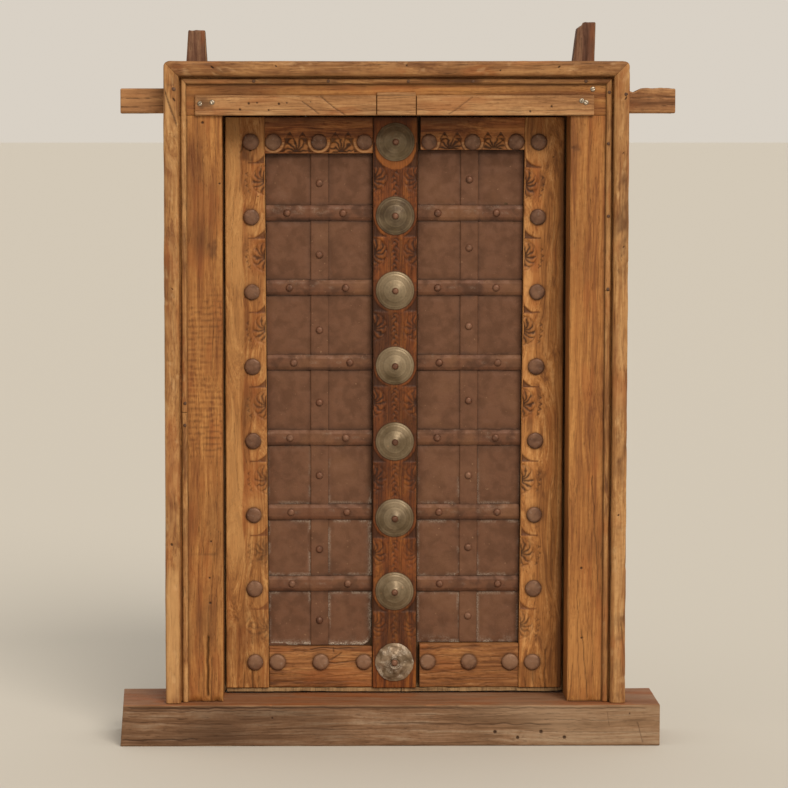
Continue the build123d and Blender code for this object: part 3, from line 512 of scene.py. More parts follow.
def tenon_top(inside, outside, top, seed, lean=0.0):
    """A jamb's tenon above the head: it narrows by a fifth to its rough top, and may lean and be broken
    at its inner corner."""
    section = section_of([(inside, -8), (outside, -8), (outside, 37), (inside, 37)], (3,) * 4, (3, 5, 6, 6))
    middle = (inside + outside) / 2

    def place(u, v, t):
        share = np.clip((t - HEAD_TOP) / (top - HEAD_TOP), 0, 1)
        ragged = noise(u / 12, v / 12, seed) * share
        broken = rise(t, top - 16, top) * rise(middle - u, 4, 20) * (lean > 0)
        x = middle + (u - middle) * (1 - 0.19 * share) + lean * (share - 0.5) + 8 * broken
        return x, v, t + ragged - 5 * broken
    along = stations(HEAD_TOP - 12, top - 1.5, 4)
    return sweep(section, along, place, wear(seed, rub=1.2, chips=1.0, waves=1.5), 3.0)


jamb_corners = [(HALF_OPENING, FACE), (HALF_FRAME, FACE), (HALF_FRAME, BACK), (REBATE_SIDE, BACK),
                (REBATE_SIDE, REBATE_FRONT), (HALF_OPENING, REBATE_FRONT)]
jamb_section = section_of(jamb_corners, (2.2, 2, 3, 2, 0.6, 2), (1.5, 9, 9, 8, 5, 5))
for side, name in SIDES:
    marks = [t for u, t, radius in jamb_holes[side]]
    along = np.concatenate([[SILL_TOP + 0.1], stations(SILL_TOP + 1, SOFFIT, 4.2, marks)])
    post = sweep(mirrored(jamb_section, side), along, upright, jamb_relief(side), 0)
    make_piece(f"jamb_{name}_worn", [post], upright_teak, "frame", "frame_teak", f"jamb_{name}")

tenons = [tenon_top(-420, -377, LEFT_TENON_TOP, 51), tenon_top(358, 402, RIGHT_TENON_TOP, 53, 6)]
make_piece("jamb_horns_worn", tenons, horn_teak, "frame", "frame_teak")


# Head
# One planed teak beam over the jambs, rebated at the back, with a horn at each end that was built into
# masonry. Its front shows only between the bead and the batten, and its corners are worn round.

BATTEN_TOP, BEAD_FOOT = 1303.5, 1324
REBATE_TOP = 1288
HORN_FOOT, HORN_TOP = 1267, 1318

# The jambs' planed teak, with its grain across
level_teak = teak("frame teak level", "#774723", "#9c6734", "#b58047", "X", 2.0, 0.7, 0.6, 0.5, 0.3)
# Sawn teak, a little weathered: greyer and duller than the beam, with more dark lines
head_horn_teak = teak("head horn teak", "#5f3c22", "#946641", "#b18255", "X", 7.5, 0.6, 0.68, 0.9, 0.4)

head_cracks = [(1316, -290, 1317, -160, 0.6, 0.5), (1309, 60, 1311, 260, 0.6, 0.5)]
head_stains = [(1310, -300, 60, -0.3), (1310, 330, 60, -0.3), (1312, 90, 80, 0.2)]
head_wear = wear(61, head_cracks, (), head_stains, 0.7, 0.3, 0.6)
left_horn_wear = wear(66, [(1296, -552, 1298, -470, 0.9, 1.6), (1280, -550, 1279, -490, 0.8, 1.2)], (),
                      [(1292, -505, 80, 0.55)], 1.2, 0.8, 1.2)
right_horn_wear = wear(65, [(1301, 470, 1299, 562, 0.9, 1.6), (1281, 480, 1284, 560, 0.8, 1.2)], (),
                       [(1292, 510, 80, -0.3)], 1.2, 0.9, 1.2)


def level(u, v, t):
    """Along X, with u as Z and v as Y."""
    return t, v, u


def worn_corner(x, z, radius=14):
    """Brings the frame's two top outer corners in: a point past the corner's circle is scaled onto it."""
    over, up = np.abs(x) - (HALF_FRAME - radius), z - (HEAD_TOP - radius)
    reach = np.where((over > 0) & (up > 0), np.maximum(np.hypot(over, up) / radius, 1), 1)
    return x - np.sign(x) * np.maximum(over, 0) * (1 - 1 / reach), z - np.maximum(up, 0) * (1 - 1 / reach)


def head_place(u, v, t):
    """Level, with the two top corners worn round."""
    x, z = worn_corner(t, u)
    return x, v, z


def right_horn_place(u, v, t):
    """Level, with a bell-shaped dip in its top near the frame and uneven beyond it."""
    dip = 8 * np.exp(-((t - 476) / 11) ** 2) + 1.2 * noise(t / 14, v / 30, 67)
    return t, v, u - dip * rise(u, 1292, HORN_TOP)


def head_relief(u, v, t, facing, corner):
    """Worn timber with painted shade on the soffit and the front, and dust along the bead and the batten."""
    sink, paint = head_wear(u, v, t, facing, corner)
    soffit = np.broadcast_to(facing[0] < -0.8, u.shape)
    # Painted shade: the soffit faces down, and the front sits in the recess under the bead
    paint["tone"] -= 0.4 * soffit + 0.2 * (facing[1] < -0.8)
    seam = np.exp(-np.abs(u - BATTEN_TOP) / 1.8) + np.exp(-np.abs(u - BEAD_FOOT) / 1.8)
    deepen(paint, "dirt", 0.5 * np.clip(seam, 0, 1) * (facing[1] < -0.8))
    return sink, paint


front_section = box_section(SOFFIT, HEAD_TOP, FACE, REBATE_FRONT, (1.5, 3, 0.5, 1), (2, 7, 14, 7))
back_section = box_section(REBATE_TOP, HEAD_TOP, REBATE_FRONT - 1, BACK, (0.5, 0.5, 3, 2), (9, 7, 9, 7))
end_section = box_section(SOFFIT, REBATE_TOP + 1, REBATE_FRONT - 1, BACK, (0.5, 0.5, 0.5, 2), (8, 7, 8, 7))
along = stations(-HALF_FRAME, HALF_FRAME, 4.5, (-457, 457), 1.5, 6)
shells = [sweep(section, along, head_place, head_relief) for section in (front_section, back_section)]
for low, high in ((-HALF_FRAME, -REBATE_SIDE), (REBATE_SIDE, HALF_FRAME)):
    shells.append(sweep(end_section, stations(low, high, 8), level, wear(63), 0.8))
make_piece("head_beam_worn", shells, level_teak, "frame", "frame_teak", "head_beam")

horn_section = box_section(HORN_FOOT, HORN_TOP, -13, 52, (3.5, 3.5, 3, 3), (2.5, 6, 6, 6))
shells = [sweep(horn_section, stations(-551, -458, 3), level, left_horn_wear, 3.0),
          sweep(horn_section, stations(458, 561, 3), right_horn_place, right_horn_wear, 3.0)]
make_piece("head_horns_worn", shells, head_horn_teak, "frame", "frame_teak")


# Outer moulding
# Three lengths of teak with a rounded face, nailed round the edge of the frame's front and mitred at the
# top corners, which are worn round. They are lumpy and dented, with a diagonal split at the top left and
# a bleached length at the left foot.

MOULDING_WIDTH, MOULDING_FRONT = 31.4, -82

# Moulded teak, rubbed by hands, with broad wandering figure: paler than the jambs at the sides, and
# browner across the top
moulding_upright = teak("moulding teak upright", "#774a28", "#a17343", "#bf9360", "Z", 3.0, 1.2, 0.58,
                        0.45, 0.35)
moulding_level = teak("moulding teak level", "#6a4222", "#8f633a", "#ad8051", "X", 4.0, 1.2, 0.58, 0.5, 0.35)

upright_cracks = {
    -1: [(-463, 1318, -436, 1268, 2.2, 2.0), (-456, 1330, -440, 1345, 0.8, 1.2),
         (-440, 700, -446, 900, 0.6, 0.5)],
    1: [(458, 190, 452, 250, 0.8, 1.2), (446, 980, 449, 1120, 0.6, 0.5)],
}
upright_holes = {-1: [(-441.6, 1315, 2.6), (-449, 410, 2.6), (-446, 930, 1.6)],
                 1: [(454.4, 1305, 2.4), (450, 1200, 1.5), (452, 1010, 1.5), (446, 470, 2.0)]}
upright_stains = {
    -1: [(-452, 1290, 22, 0.5), (-451, 1177, 14, 0.8), (-448, 220, 110, 0.7), (-452, 960, 60, -0.3),
         (-450, 690, 60, -0.25), (-447, 400, 26, -0.4)],
    1: [(455, 1150, 18, -0.3), (450, 330, 30, 0.4), (455, 520, 60, -0.3), (452, 780, 70, 0.1),
        (452, 1000, 200, -0.2)],
}
top_cracks = [(1361, -120, 1363, -20, 0.7, 0.9), (1366, -410, 1364, -250, 0.6, 0.6),
              (1362, 250, 1365, 400, 0.6, 0.6)]
top_holes = [(1358, -376, 2.6), (1360, -245, 1.8), (1362, 20, 1.8), (1359, 330, 2.2), (1352, 214, 1.6)]
top_stains = [(1356, -370, 16, -0.5), (1356, -180, 50, -0.25), (1358, 60, 60, -0.25), (1358, 300, 60, 0.3)]


def moulding_relief(worn, seed):
    """Worn timber with softer arrises, noise for its lumps and dents, and dust where it meets the face."""
    def relief(u, v, t, facing, corner):
        sink, paint = worn(u, v, t, facing, corner * 0.25)
        front = (facing[1] < 0.2) * np.ones(u.shape)
        sink += front * (0.5 + 0.5 * noise(t / 52, (u + v) / 26, seed + 7, 3))
        knock = 0.6 * rise(noise(t / 19, (u + v) / 12, seed + 8, 2), 0.62, 1.0) * front
        sink += knock * 1.6
        paint["pale"] = np.clip(paint["pale"] * 0.5 + knock * 0.5, 0, 1)
        deepen(paint, "dirt", 0.65 * rise(v, FACE - 7, FACE - 1) * front)
        paint["tone"] += 0.34 * noise(t / 26, (u + v) / 14, seed + 9, 3) + 0.1
        return sink, paint
    return relief


def planted_section(low, high, front, radii, steps):
    """The section of a strip that is planted on the frame's face and stands out to its front."""
    return section_of([(low, FACE), (low, front), (high, front), (high, FACE)], radii, steps)


def mitred_upright(u, v, t):
    """Upright, with its length drawn in so that its top slants at 45 degrees, and the corner worn."""
    top = HEAD_TOP - (HALF_FRAME - np.abs(u))
    x, z = worn_corner(u, SILL_TOP + (t - SILL_TOP) * (top - SILL_TOP) / (HEAD_TOP - SILL_TOP))
    return x, v, z


def mitred_level(u, v, t):
    """Level, with its length drawn in so that both its ends slant at 45 degrees, and the corners worn."""
    x, z = worn_corner(t * (HALF_FRAME - (HEAD_TOP - u)) / HALF_FRAME, u)
    return x, v, z


def moulding_section(outer):
    """The rounded section of the outer moulding, up to its outer edge."""
    radii, steps = (0.6, 8, 7, 0.6), (2.2, 1.3, 2.2, 8)
    return planted_section(outer - MOULDING_WIDTH, outer, MOULDING_FRONT, radii, steps)


upright_section = moulding_section(HALF_FRAME)
for side, name in SIDES:
    worn = wear(71 + side, upright_cracks[side], upright_holes[side], upright_stains[side], 0.6, 0.2, 0.5)
    along = stations(SILL_TOP + 0.3, HEAD_TOP, 4, [t for u, t, radius in upright_holes[side]])
    relief = moulding_relief(worn, 74 + side)
    shell = sweep(mirrored(upright_section, side), along, mitred_upright, relief, 0.8)
    make_piece(f"outer_moulding_{name}_worn", [shell], moulding_upright,
               "frame", "moulding_teak", f"outer_moulding_{name}")

top_section = moulding_section(HEAD_TOP)
relief = moulding_relief(wear(76, top_cracks, top_holes, top_stains, 0.6, 0.2, 0.5), 77)
along = stations(-HALF_FRAME, HALF_FRAME, 4, [t for u, t, radius in top_holes])
shell = sweep(top_section, along, mitred_level, relief, 0.8)
make_piece("outer_moulding_top_worn", [shell], moulding_level,
           "frame", "moulding_teak", "outer_moulding_top")


# Inner bead
# A thin teak bead with a rounded face, nailed on the frame's front: one length at the top and two on
# each side, with a dark joint between them. It is of the same timber as the outer moulding.

BEAD_IN, BEAD_OUT, BEAD_FRONT, BEAD_TOP = 417, 429, -67, 1337
BEAD_LENGTHS = (("left_lower", -1, 84.3, 670.6, 81), ("left_upper", -1, 671.4, BEAD_TOP, 82),
                ("right_lower", 1, 84.3, 913.6, 83), ("right_upper", 1, 914.4, BEAD_TOP, 84))
BEAD_WIDTH = BEAD_OUT - BEAD_IN


def bead_section(outer):
    """The rounded section of the bead, up to its outer edge."""
    return planted_section(outer - BEAD_WIDTH, outer, BEAD_FRONT, (0.4, 4.6, 4.6, 0.4), (2, 1.2, 2, 5))


def mitred_bead(u, v, t):
    """Level, with its length drawn in so that both its ends slant at 45 degrees."""
    return t * (BEAD_OUT - (BEAD_TOP - u)) / BEAD_OUT, v, u


def bead_place(low, high):
    """Upright, and at the frame's top drawn in so that the end slants at 45 degrees."""
    def place(u, v, t):
        top = high - (BEAD_OUT - np.abs(u)) if high == BEAD_TOP else high
        return u, v, low + (t - low) * (top - low) / (high - low)
    return place


for part, side, low, high, seed in BEAD_LENGTHS:
    worn = wear(seed, (), (), [(side * 423, (low + high) / 2, 40, -0.4)], 0.5, 0.15, 0.3)
    shell = sweep(mirrored(bead_section(BEAD_OUT), side), stations(low, high, 5), bead_place(low, high),
                  moulding_relief(worn, seed), 1.2)
    make_piece(f"inner_bead_{part}_worn", [shell], moulding_upright,
               "frame", "moulding_teak", f"inner_bead_{part}")

worn = wear(85, (), (), [(1331, 132, 46, -1.0), (1331, -200, 60, -0.4)], 0.5, 0.15, 0.3)
along = stations(-BEAD_OUT, BEAD_OUT, 5)
shell = sweep(bead_section(BEAD_TOP), along, mitred_bead, moulding_relief(worn, 85), 1.2)
make_piece("inner_bead_top_worn", [shell], moulding_level, "frame", "moulding_teak", "inner_bead_top")


# Batten
# A teak batten nailed along the head's lower edge, in two strips with a block between two grooves. A
# scratched line runs above its lower arris, with scribed diagonals and old nail holes.

BATTEN_FRONT, BLOCK_FRONT = -66, -67
STRIP_TOP, BLOCK_TOP, HALF_BLOCK = 1303, 1309, 38.4

# Planed teak, dry and a little bleached: paler and duller than the beam behind it, with little figure
batten_teak = teak("batten teak", "#774f2d", "#9f7248", "#b88d5f", "X", 5.0, 0.5, 0.6, 0.5, 0.25)

batten_cuts = [
    (1273.4, -398, 1273.4, 392, 0.7, 0.9), (1299.5, -396, 1299.0, -44, 0.6, 0.4),
    (1290, -186.6, 1267, -155.6, 1.0, 1.8), (1301.6, -151.6, 1263, -101.6, 1.0, 2.0),
    (1299, 151, 1266, 104, 1.0, 1.4), (1280, -300, 1281, -220, 0.5, 0.3), (1288, 200, 1287, 330, 0.5, 0.3),
]
batten_holes = [(1287, -293.6, 2.3), (1288, -277, 1.7), (1286, -233.6, 2.3), (1288, -218, 1.6),
                (1275, -311, 2.2), (1274, -254, 1.6), (1281, 308.4, 2.2), (1271, 266, 2.0),
                (1290, -171, 1.2)]
batten_stains = [(1284, -378, 16, -0.7), (1283, -255, 90, 0.2), (1283, 100, 90, 0.35), (1267, 235, 16, -0.6)]
batten_wear = wear(91, batten_cuts, batten_holes, batten_stains, 0.7, 0.35, 0.35)


def batten_relief(u, v, t, facing, corner):
    """Worn timber, bare along its lower arris in patches of noise, with dust along its top."""
    sink, paint = batten_wear(u, v, t, facing, corner)
    front = facing[1] < -0.8
    deepen(paint, "dirt", 0.8 * front * np.exp(-np.abs(u - STRIP_TOP) / 1.2))
    deepen(paint, "pale", 0.35 * front * (u < 1272) * (0.5 + 0.5 * noise(t / 25, u / 9, 92)))
    return sink, paint


strip_section = planted_section(SOFFIT, STRIP_TOP, BATTEN_FRONT, (0.6, 1.3, 1.2, 0.4), (3, 1.3, 3, 9))
marks = [t for u, t, radius in batten_holes]
for name, low, high in (("left", -400, -40.4), ("right", 40.4, 393)):
    shell = sweep(strip_section, stations(low, high, 2.4, marks), level, batten_relief, 0.8)
    make_piece(f"head_batten_{name}_worn", [shell], batten_teak,
               "frame", "batten_teak", f"head_batten_{name}")

block_section = planted_section(SOFFIT, BLOCK_TOP, BLOCK_FRONT, (0.6, 1.6, 1.6, 0.4), (3, 1.3, 3, 9))
shell = sweep(block_section, stations(-HALF_BLOCK, HALF_BLOCK, 1.6), level, batten_relief, 1.0)
make_piece("head_centre_block_worn", [shell], batten_teak, "frame", "batten_teak", "head_centre_block")


# Small fastenings
# Five slotted steel screws in the batten and the head, 10 across, and thirteen hammered iron nail heads
# in the bead and the outer moulding.

NAIL_RINGS = ((1.0, 0.4), (0.82, 0.75), (0.5, 0.95), (0.15, 1.0))
SCREW_RINGS = ((5.0, 0.6), (4.6, 1.3), (3.7, 1.8), (2.8, 2.0), (1.9, 2.1), (1.0, 2.15), (0.3, 2.15))
# The oxide of iron from crest to crest: its broad clouds, its spots, its pits and its bright specks
OXIDE_CLOUD, OXIDE_SPOT, PIT, SPECK = 90.9091, 20.8333, 2.38095, 5.88235


def metal(name, dark, middle, light, seed, rough=0.5, metallic=0.35, fine=1.0):
    """Iron, steel or brass under a brown skin: noise from cloudy oxide down to pits mixes its dark,
    middle and light colours, and chalk lies where pale is painted. fine makes the smaller ones smaller."""
    material, tree, (place,) = empty_material(name, (seed * 0.31, seed * 0.17, seed * 0.43), ((1, 1, 1),))
    # Each noise field has its largest cell, how many times that is halved, and its stirring
    clouds, spots, pits, specks = [
        add_node(tree, "TexNoise", {"Vector": place, "Scale": 1000 / size, "Detail": halvings,
                                    "Distortion": stir})
        for size, halvings, stir in ((OXIDE_CLOUD, 5, 0.5), (OXIDE_SPOT / fine, 5, 0.3),
                                     (PIT / fine, 3, 0), (SPECK / fine, 2, 0))]
    tone = add_node(tree, "Attribute", give="Fac", attribute_name="tone")
    # The tone layer lightens or darkens these colours, and on the straps and studs carries painted light and
    # shade
    coats = (
        (spots, 0.35, 0.62, 1.0, linear_colour(middle)),
        (clouds, 0.45, 0.72, 0.75, linear_colour(light)),
        (pits, 0.45, 0.75, 0.3, linear_colour(dark)),
        (specks, 0.70, 0.76, 0.35, linear_colour("#b08a68")),
        (tone, 0.0, 1.0, 0.7, linear_colour(light)),
        (tone, 0.0, -1.0, 0.7, linear_colour("#2a1811")),
    )
    raised = add_node(tree, "Math", {0: spots, 1: 0.6}, operation="MULTIPLY")
    height = add_node(tree, "Math", {0: pits, 1: 0.25, 2: raised}, operation="MULTIPLY_ADD")
    chalk = (pits, 0.42, 0.58, 0.15, 1.0, linear_colour("#cdbfae"))
    dust = (0.85, linear_colour("#1a0f0a"))
    dull = (spots, 0.3, 0.7, rough + 0.14, rough - 0.08)
    dress_surface(tree, linear_colour(dark), coats, chalk, dust, dull, height, 1.2,
                  **{"Metallic": metallic, "Specular IOR Level": 0.35})
    return material


# Cut steel, bright with use: a pale grey metal with fine brown spots
screw_steel = metal("screw steel", "#6d5f50", "#a3937f", "#d0c4b2", 7.0, 0.34, 0.85, 2.0)
# Forged iron, rusted and waxed: red brown with a dull shine
nail_iron = metal("nail iron", "#583a28", "#6f4d38", "#8a674e", 3.0, 0.5, 0.2, 1.2)


def round_head(radii, heights, sides, place, shape, paint):
    """A turned or hammered head: rings from its foot to its top, each with a radius and a height, whose
    points stand at the cosine and the sine of their angle. shape moves them, paint gives their layers,
    and place sets them on the object."""
    turn = np.linspace(0, 2 * math.pi, sides, endpoint=False)
    radius, angle = np.meshgrid(radii, turn, indexing="ij")
    height = np.broadcast_to(np.array(heights, float)[:, None], radius.shape).copy()
    radius, height = shape(radius, height, angle)
    layers = paint(radius, height, angle)
    return grid_shell(*place(radius * np.cos(angle), radius * np.sin(angle), height), layers)


def on_front(x, z, y):
    """Sets a head on a front face: its own x and y become X and Z, and its height stands out of the face."""
    return lambda a, b, h: (x + a, y - h, z + b)


def screw(x, z, y, turn, seed):
    """A domed head with a slot: a bell-shaped groove along a line through its middle."""
    def shape(r, h, a):
        slot = np.exp(-((r * np.sin(a - turn)) / 0.75) ** 2) * (h > 0.8)
        return r, h - 0.9 * slot

    def paint(r, h, a):
        slot = np.exp(-((r * np.sin(a - turn)) / 0.9) ** 2) * (h < 1.6)
        return {"dirt": 0.9 * slot * (r < 4.6) + 0.5 * (r > 4.7), "tone": 0.3 * np.cos(a + seed)}
    radii, heights = zip((5.0, -0.5), *SCREW_RINGS)
    return round_head(radii, heights, 32, on_front(x, z, y), shape, paint)


def nail_head(x, z, y, radius, seed):
    """A small hammered head: its rim and its crown are moved by noise, and it is 0.4 of its radius high."""
    def shape(r, h, a):
        rim = 1 + 0.08 * noise(np.cos(a) * 1.5 + seed, np.sin(a) * 1.5, seed, 2)
        return r * rim, h + 0.08 * noise(np.cos(a) * r, np.sin(a) * r, seed, 2)

    def paint(r, h, a):
        return {"dirt": 0.45 + 0.3 * (r > 0.9 * radius)}
    radii = [radius] + [share * radius for share, up in NAIL_RINGS]
    heights = [-0.6] + [up * 0.4 * radius for share, up in NAIL_RINGS]
    return round_head(radii, heights, 20, on_front(x, z, y), shape, paint)


screw_places = [(-390.6, 1286.4, BATTEN_FRONT, 0.6), (-366, 1289.2, BATTEN_FRONT, 2.2),
                (368.4, 1292.4, BATTEN_FRONT, 1.2), (376.8, 1289, BATTEN_FRONT, 2.7),
                (390.8, 1315.4, FACE, 0.2)]
shells = [screw(*place, 1 + number) for number, place in enumerate(screw_places)]
make_piece("batten_screws", shells, screw_steel, "frame", "forged_iron")

bead_nails = [(-283.6, 1331), (-135.6, 1331), (23.6, 1331), (152, 1331), (376.4, 1331), (-422, 689),
              (-422.5, 645), (423, 917.6), (423, 1309), (422, 1207), (423, 1063)]
shells = [nail_head(x, z, BEAD_FRONT + 0.5, 3.3, 100 + number) for number, (x, z) in enumerate(bead_nails)]
shells += [nail_head(-441.6, 1315, -80.6, 4.0, 120), nail_head(454.4, 1305, -80.0, 4.2, 121)]
make_piece("bead_nails", shells, nail_iron, "frame", "forged_iron")


# Stiles
# The outer border of each leaf, of teak 20 thick that is nailed on the hanging plank. Between the nails
# its inner edge is carved into bays: a half round of curved petals and small chips, under the deep cut
# that leaves a round lobe for each nail. The left one is yellower outwards, and worn towards its foot.

LEAF_FOOT, LEAF_TOP = 96, 1260
STILE_OUTER, STILE_WIDTH, STILE_FRONT = 343, 84, 34
STUD_IN = 28.5
ROWS = [149 + 1061 / 7 * row for row in range(8)]
STILE_STRENGTH = {-1: (0.1, 0.2, 0.5, 0.6, 0.65, 0.7, 0.75), 1: (0.5, 0.75, 0.9, 1.0, 1.0, 1.0, 1.0)}

# Carved teak, waxed and handled: golden, with a broad wandering figure
stile_teak = {
    -1: teak("left stile teak", "#744722", "#a06b38", "#c4935a", "Z", 8.0, 3.0, 0.56, 0.7, 0.3),
    1: teak("right stile teak", "#784a24", "#a97039", "#c99359", "Z", 8.5, 2.6, 0.56, 0.6, 0.25),
}

stile_cracks = {
    -1: [(34, 96, 35, 150, 1.0, 2.4), (52, 96, 50, 128, 0.8, 1.2), (46, 1206, 52, 1190, 1.6, 2.0),
         (20, 96, 21, 120, 0.8, 1.0), (60, 500, 66, 640, 0.6, 0.6), (70, 900, 66, 1100, 0.6, 0.6)],
    1: [(52, 96, 54, 175, 0.9, 1.8), (30, 96, 30, 135, 0.8, 1.2), (66, 300, 62, 520, 0.7, 0.8),
        (58, 820, 64, 1080, 0.6, 0.6), (14, 96, 13, 118, 0.8, 1.0)],
}
stile_holes = {-1: [(30, 1194, 3.0), (15, 1100, 1.3)], 1: [(60, 1180, 1.5)]}
stile_stains = {-1: [(34, 1192, 16, -0.9), (70, 1000, 70, 0.5), (66, 500, 90, 0.4), (30, 560, 30, -0.3)],
                1: [(58, 1190, 30, -0.25), (56, 830, 60, -0.2), (60, 500, 80, 0.25), (20, 130, 26, -0.3)]}


def stile_edge(z):
    """The inner edge of a stile, which widens in a straight line towards its foot."""
    return 255 + 8 * (z - LEAF_FOOT) / (LEAF_TOP - LEAF_FOOT)


def petals(rho, turn, number, reach):
    """Height from 0 to 1 of a ring of petals, and the dark grooves round them. A petal's cross-section is
    a parabola, its tip a root of that, and the grooves are bell-shaped. reach is the ring's radius."""
    share = turn / (2 * math.pi) * number
    part = share - np.floor(share)
    ridge = 1 - (2 * part - 1) ** 2
    tip = 0.84 + 0.14 * np.sqrt(ridge)
    inside = 1 - rise(rho, tip - 0.05, tip + 0.05)
    height = (0.3 + 0.7 * ridge ** 0.8) * inside * rise(rho, 0.2, 0.38)
    width = rho * reach * 2 * math.pi / number
    gouge = 1.2 + 1.7 * np.sin(math.pi * np.clip(rho, 0, 1))
    groove = np.exp(-(np.minimum(part, 1 - part) * width / gouge) ** 2) * inside
    groove = np.maximum(groove, 1 - rise(rho, 0.16, 0.34))
    return height, np.maximum(groove, 0.35 * np.exp(-((rho - tip) * reach / 1.5) ** 2))


def fan(a, b, half_length, width, number, seed, swirl=0.0):
    """A half round of petals that spreads from a = 0, b = 0 into the piece. Its petals curve upwards by
    swirl times the power 1.5 of the radius, and noise makes them uneven."""
    rho = np.hypot(a / half_length, b / width)
    turn = np.arctan2(a / half_length, np.maximum(b, 0) / width + 1e-6) * (1 + 0.3 * (1 - rho))
    turn = turn - swirl * rho ** 1.5 + 0.16 * noise(a / 9, b / 9, seed, 2)
    return petals(rho, turn, 2 * number, width)


def notches(a, b, places, size):
    """Small chips that point away from the carving: two lines that meet in a V, and a round place."""
    total = 0.0
    for middle, depth in places:
        tip = (depth + size * 0.6, middle)
        for end in (middle - size, middle + size):
            total = np.maximum(total, cut(b, a, (depth - size, end), tip, 1.0))
        total = np.maximum(total, spot(b, a, (depth, middle), size * 0.45))
    return total


def stile_bay(side, row, paint, u, t, front):
    """The carving between two nails, with its paint. A circle round the upper nail bounds the lobe, a
    level line is the bay's floor, and a wedge is cut between them over a fan of petals."""
    middle, strength = (ROWS[row] + ROWS[row + 1]) / 2, STILE_STRENGTH[side][row]
    wide = side > 0 and row == 6
    a, near = t - middle, np.abs(t - middle) < 76
    lobe = np.hypot(a - (68 if wide else 74), u - (37 if wide else 36)) - (43 if wide else 42)
    lobe = lobe + 0.9 * noise(t / 15, u / 15, 140 + row, 2)
    floor_line = (25.5 if wide else 34.5) + 0.8 * noise(u / 8, t / 30, 145 + row, 2)
    wedge = rise(lobe, -1.0, 0.8) * rise(a, floor_line - 2.0, floor_line + 0.5) * (u < 31) * near * front
    centre = floor_line - 36 + 2 * math.sin(2.3 * row + side)
    height, groove = fan(a - centre, u + 1, 30, 30, 5, 150 + row + side, 0.8)
    bay = (1 - rise(np.hypot((a - centre) / 31, (u + 1) / 30), 0.92, 1.04)) * near * front
    tips = notches(a - centre, u, ((12, 38.5), (-1, 40), (-11, 38), (-22, 34)), 3.0) * near * front
    floor_cut = np.exp(-((a - floor_line + 0.5) / 1.3) ** 2) * rise(lobe, -7, -3) * (u < 35) * near * front
    petal_dust = bay * (0.1 + 0.95 * groove + 0.15 * (1 - height))
    deepen(paint, "dirt", np.maximum(petal_dust, 0.75 * tips) * min(1.0, 0.4 + 0.6 * strength))
    # The wedge under the upper lobe is painted dark and redder: dust, and painted shadow under the lobe's
    # edge
    deepen(paint, "dirt", np.maximum(0.85 * wedge, 0.95 * floor_cut) * min(1.0, 0.6 + 0.4 * strength))
    handled = near * front * (1 - rise(np.abs(a), 24, 40)) * (1 - rise(u, 26, 36))
    paint["warm"] += 0.9 * np.maximum(wedge, floor_cut) + 0.4 * strength * handled
    rings = 0.3 * np.sin(np.hypot(a, u - 30) / 1.7 + 2 * noise(a / 12, u / 12, 155)) * (strength < 0.4)
    paint["tone"] += 0.3 * rise(np.abs(a), 34, 46) * near * (1 - rise(u, 30, 50)) * front
    paint["tone"] += rings * rise(u, 0, 8) * (1 - rise(np.hypot(a, u - 26), 14, 26)) * front
    return strength * (bay * (0.3 + 2.8 * (1 - height)) + 3.4 * wedge + 1.2 * tips)


def stile_relief(side):
    """Worn timber with seven carved bays, dust in its joints and round the studs, painted shade along its
    outer edge by the jamb, most on the right, and painted shade at its top under the head. On the left one a
    wandering line parts a yellow outer half."""
    worn = wear(131 + side, stile_cracks[side], stile_holes[side], stile_stains[side], 0.8, 0.4, 0.6)

    def relief(u, v, t, facing, corner):
        sink, paint = worn(u, v, t, facing, corner)
        front = np.broadcast_to(facing[1] < -0.5, u.shape)
        for row in range(7):
            sink += stile_bay(side, row, paint, u, t, front)
        deepen(paint, "dirt", 0.45 * np.exp(-np.minimum(u, STILE_WIDTH - u) / 1.1) * front)
        # Painted shade: darker along the outer edge, where the jamb shades it, most on the right, and at the
        # top under the head
        paint["tone"] -= (0.25 if side < 0 else 0.7) * rise(u, 68, STILE_WIDTH)
        paint["tone"] -= 0.25 * rise(t, 1225, LEAF_TOP)
        if side < 0:
            border = 48 + 5 * noise(t / 90, u * 0, 156, 2)
            outer = rise(u, border - 2, border + 3) * rise(t, 200, 420)
            paint["tone"] += 0.75 * outer - 0.05
            paint["warm"] = (paint["warm"] + 0.3 * rise(t, 300, 600)) * (1 - outer)
        to_stud = np.minimum.reduce([np.hypot(u - STUD_IN, t - z) for z in ROWS])
        deepen(paint, "dirt", 0.4 * np.exp(-np.maximum(to_stud - 17, 0) / 2.0) * front)
        return sink, paint
    return relief


def stile_place(side):
    """Upright from its slanting inner edge: the width beyond its own is added as the square of u."""
    def place(u, v, t):
        edge = stile_edge(t)
        return side * (edge + u + (STILE_OUTER - edge - STILE_WIDTH) * (u / STILE_WIDTH) ** 2), v, t
    return place


stile_section = box_section(0, STILE_WIDTH, STILE_FRONT, PLANK_FRONT, (1.2, 1.8, 0.6, 0.6), (1.4, 5, 12, 5))
for side, name in SIDES:
    along = stations(LEAF_FOOT, LEAF_TOP, 2.0, [t for u, t, radius in stile_holes[side]], 1.0, 4)
    shell = sweep(stile_section, along, stile_place(side), stile_relief(side), 1.2)
    make_piece(f"{name}_stile_carved", [shell], stile_teak[side],
               f"{name}_leaf", "stile_teak", f"{name}_stile")


# Rails
# Teak 18 thick between the stile and the middle of each leaf. The top ones are carved along their lower
# edge between three lobes. The foot ones are plain and split, the worn left one in two broken layers.

RAIL_FRONT = 36
RAIL_START = {-1: 44, 1: 52}
FOOT_RAIL_TOP = {side: solid_box(f"{name}_foot_rail")[1][2] for side, name in SIDES}
TOP_RAIL_FOOT = {side: solid_box(f"{name}_top_rail")[0][2] for side, name in SIDES}
